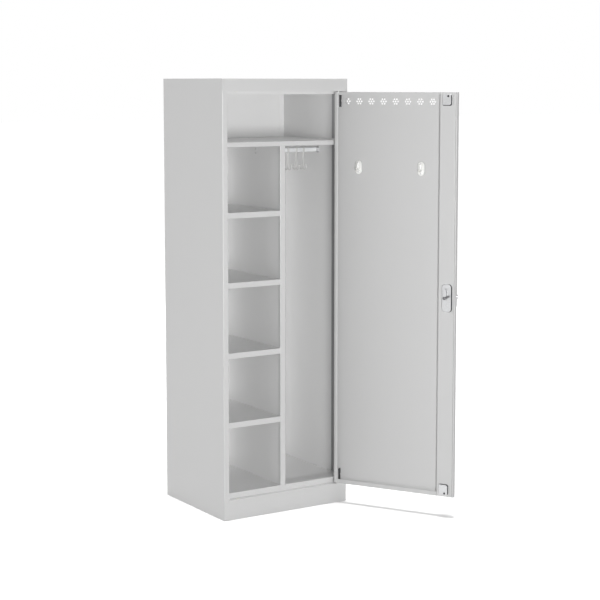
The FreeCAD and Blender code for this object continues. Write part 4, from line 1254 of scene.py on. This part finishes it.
low, high = closed_box("door_panel")
start()
bpy.ops.mesh.primitive_cylinder_add(
    vertices=48, radius=0.5, depth=1,
    location=(high.x - HEM_WIDE / 2, high.y - HEM_SINK, (low.z + high.z) / 2))
hem = bpy.context.object
hem.scale = (HEM_WIDE, 2 * HEM_PROUD, high.z - low.z - HEM_SHORT)
settle()
edit()
pick_all()
bpy.ops.mesh.bisect(plane_co=(0, high.y - HEM_CUT, 0), plane_no=(0, 1, 0), use_fill=True,
                    clear_inner=True)
leave()
close_up(hem)
round_edges(hem, 0.0006, 2, 50)
put(hem, "rolled_hinge_hem", "door", "door_paint")
print("hem:", len(hem.data.polygons), "faces")

# %% Strips of painted shade on the side wall
SHEET = 0.001            # the cabinet's steel
SHADE_STRIP_THICK = 0.0008
SHADE_STRIP_SINK = 0.0002       # how far it sinks into the wall's skin
SHADE_STRIP_FRONT = -0.190
SHADE_STRIP_BACK = -0.1375
SHADE_STRIP_SHORT = 0.004       # gap to the floor and the shelf
SHADE_STRIP_TOP = 0.060         # gap to the roof

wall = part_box("side_panel_right")[1][0] - SHEET
strips = []
for low_z, high_z in ((floor_top + SHADE_STRIP_SHORT, hat_under - SHADE_STRIP_SHORT),
                      (hat_top + SHADE_STRIP_SHORT, roof - SHADE_STRIP_TOP)):
    strip = block((wall - SHADE_STRIP_THICK, SHADE_STRIP_FRONT, low_z), (wall + SHADE_STRIP_SINK, SHADE_STRIP_BACK, high_z))
    round_edges(strip, 0.0003, 2, 40)
    strips.append(strip)
# The strip's matt dark grey is painted shade, where the door's edge shades the side wall.
put(joined(strips), "side_wall_painted_shade_strip", "carcass", "rubber", material=shade_strip_paint)
print("felt strips:", len(strips[0].data.polygons), "faces")

# %% [markdown]
# ## Screws
# Pan-head screws with a cross recess hold the hooks, the guides and the lock case. The head is a
# flat cylinder whose face is inset twice and then crowned. The recess is cut by two crossed bars
# with a Boolean, which is the quickest clean way to cut a pocket. One head serves for all places.


# %% One screw head
SLOT_LONG = 1.05         # length and width of a bar, as shares of the head's radius
SLOT_WIDE = 0.24
CROWN = 0.55             # share of the rise that the crown falls towards the rim


def screw_head(radius, rise):
    """A pan head that looks along +Y, with its seat at the origin."""
    start()
    bpy.ops.mesh.primitive_cylinder_add(vertices=32, radius=radius, depth=rise,
                                        location=(0, rise / 2, 0),
                                        rotation=(math.radians(90), 0, 0))
    head = settle()
    edit()
    pick(lambda p, n: n.y > 0.9)
    bpy.ops.mesh.inset(thickness=radius * 0.18, depth=0)
    bpy.ops.mesh.inset(thickness=radius * 0.22, depth=0)
    leave()
    for vertex in head.data.vertices:
        off = math.hypot(vertex.co.x, vertex.co.z) / radius
        if vertex.co.y > rise * 0.9:
            vertex.co.y = rise * (1.0 - CROWN * off ** 4)
    cutters = []
    for turn in (0, 90):
        start()
        bpy.ops.mesh.primitive_cube_add(size=1, location=(0, rise, 0))
        bar = bpy.context.object
        bar.scale = (radius * SLOT_LONG, rise * 1.1, radius * SLOT_WIDE)
        bar.rotation_euler = (0, math.radians(turn), 0)
        cutters.append(settle())
    for bar in cutters:
        cut_with(head, bar)
    close_up(head)
    smooth(40)
    return head


print("screw helper ready")

# %% Screws on the door and bolt ends on the partition
SCREW_REACH = 0.009
DOOR_SPIN = (23, 41)     # degrees: how the first recess is turned, and each next one further
RAIL_SPIN = (15, 50)


def screw_set(node, name, turn, body, facing):
    """Replaces one node of screws by modelled heads, joined into one piece."""
    bits = separate_bits(node, turn, SCREW_REACH)
    low, high = bits[0]
    radius = (high.z - low.z) / 2
    rise = (high.y - low.y) if facing == "Y" else (high.x - low.x)
    head = screw_head(radius, rise)
    copies = []
    for index, (low, high) in enumerate(bits):
        middle = (low + high) / 2
        if facing == "Y":
            seat = Matrix.Translation((middle.x, low.y, middle.z))
            first, step = DOOR_SPIN
        else:
            seat = (Matrix.Translation((high.x, middle.y, middle.z))
                    @ Matrix.Rotation(math.radians(90), 4, "Z"))
            first, step = RAIL_SPIN
        spin = Matrix.Rotation(math.radians(first + step * index), 4, "Y")
        copies.append(copy_of(head, seat @ spin))
    bpy.data.objects.remove(head)
    put(joined(copies), name, body, "zinc", [node])
    print(name, len(bits), "heads of", round(radius * 2000, 1), "mm")


screw_set("hook_screws", "hook_pan_screws", door_turn, "door", "Y")
screw_set("guide_screws", "guide_pan_screws", door_turn, "door", "Y")
screw_set("lock_case_screws", "case_pan_screws", door_turn, "door", "Y")
screw_set("rail_screws", "rail_bolt_ends", carcass_turn, "carcass", "X")
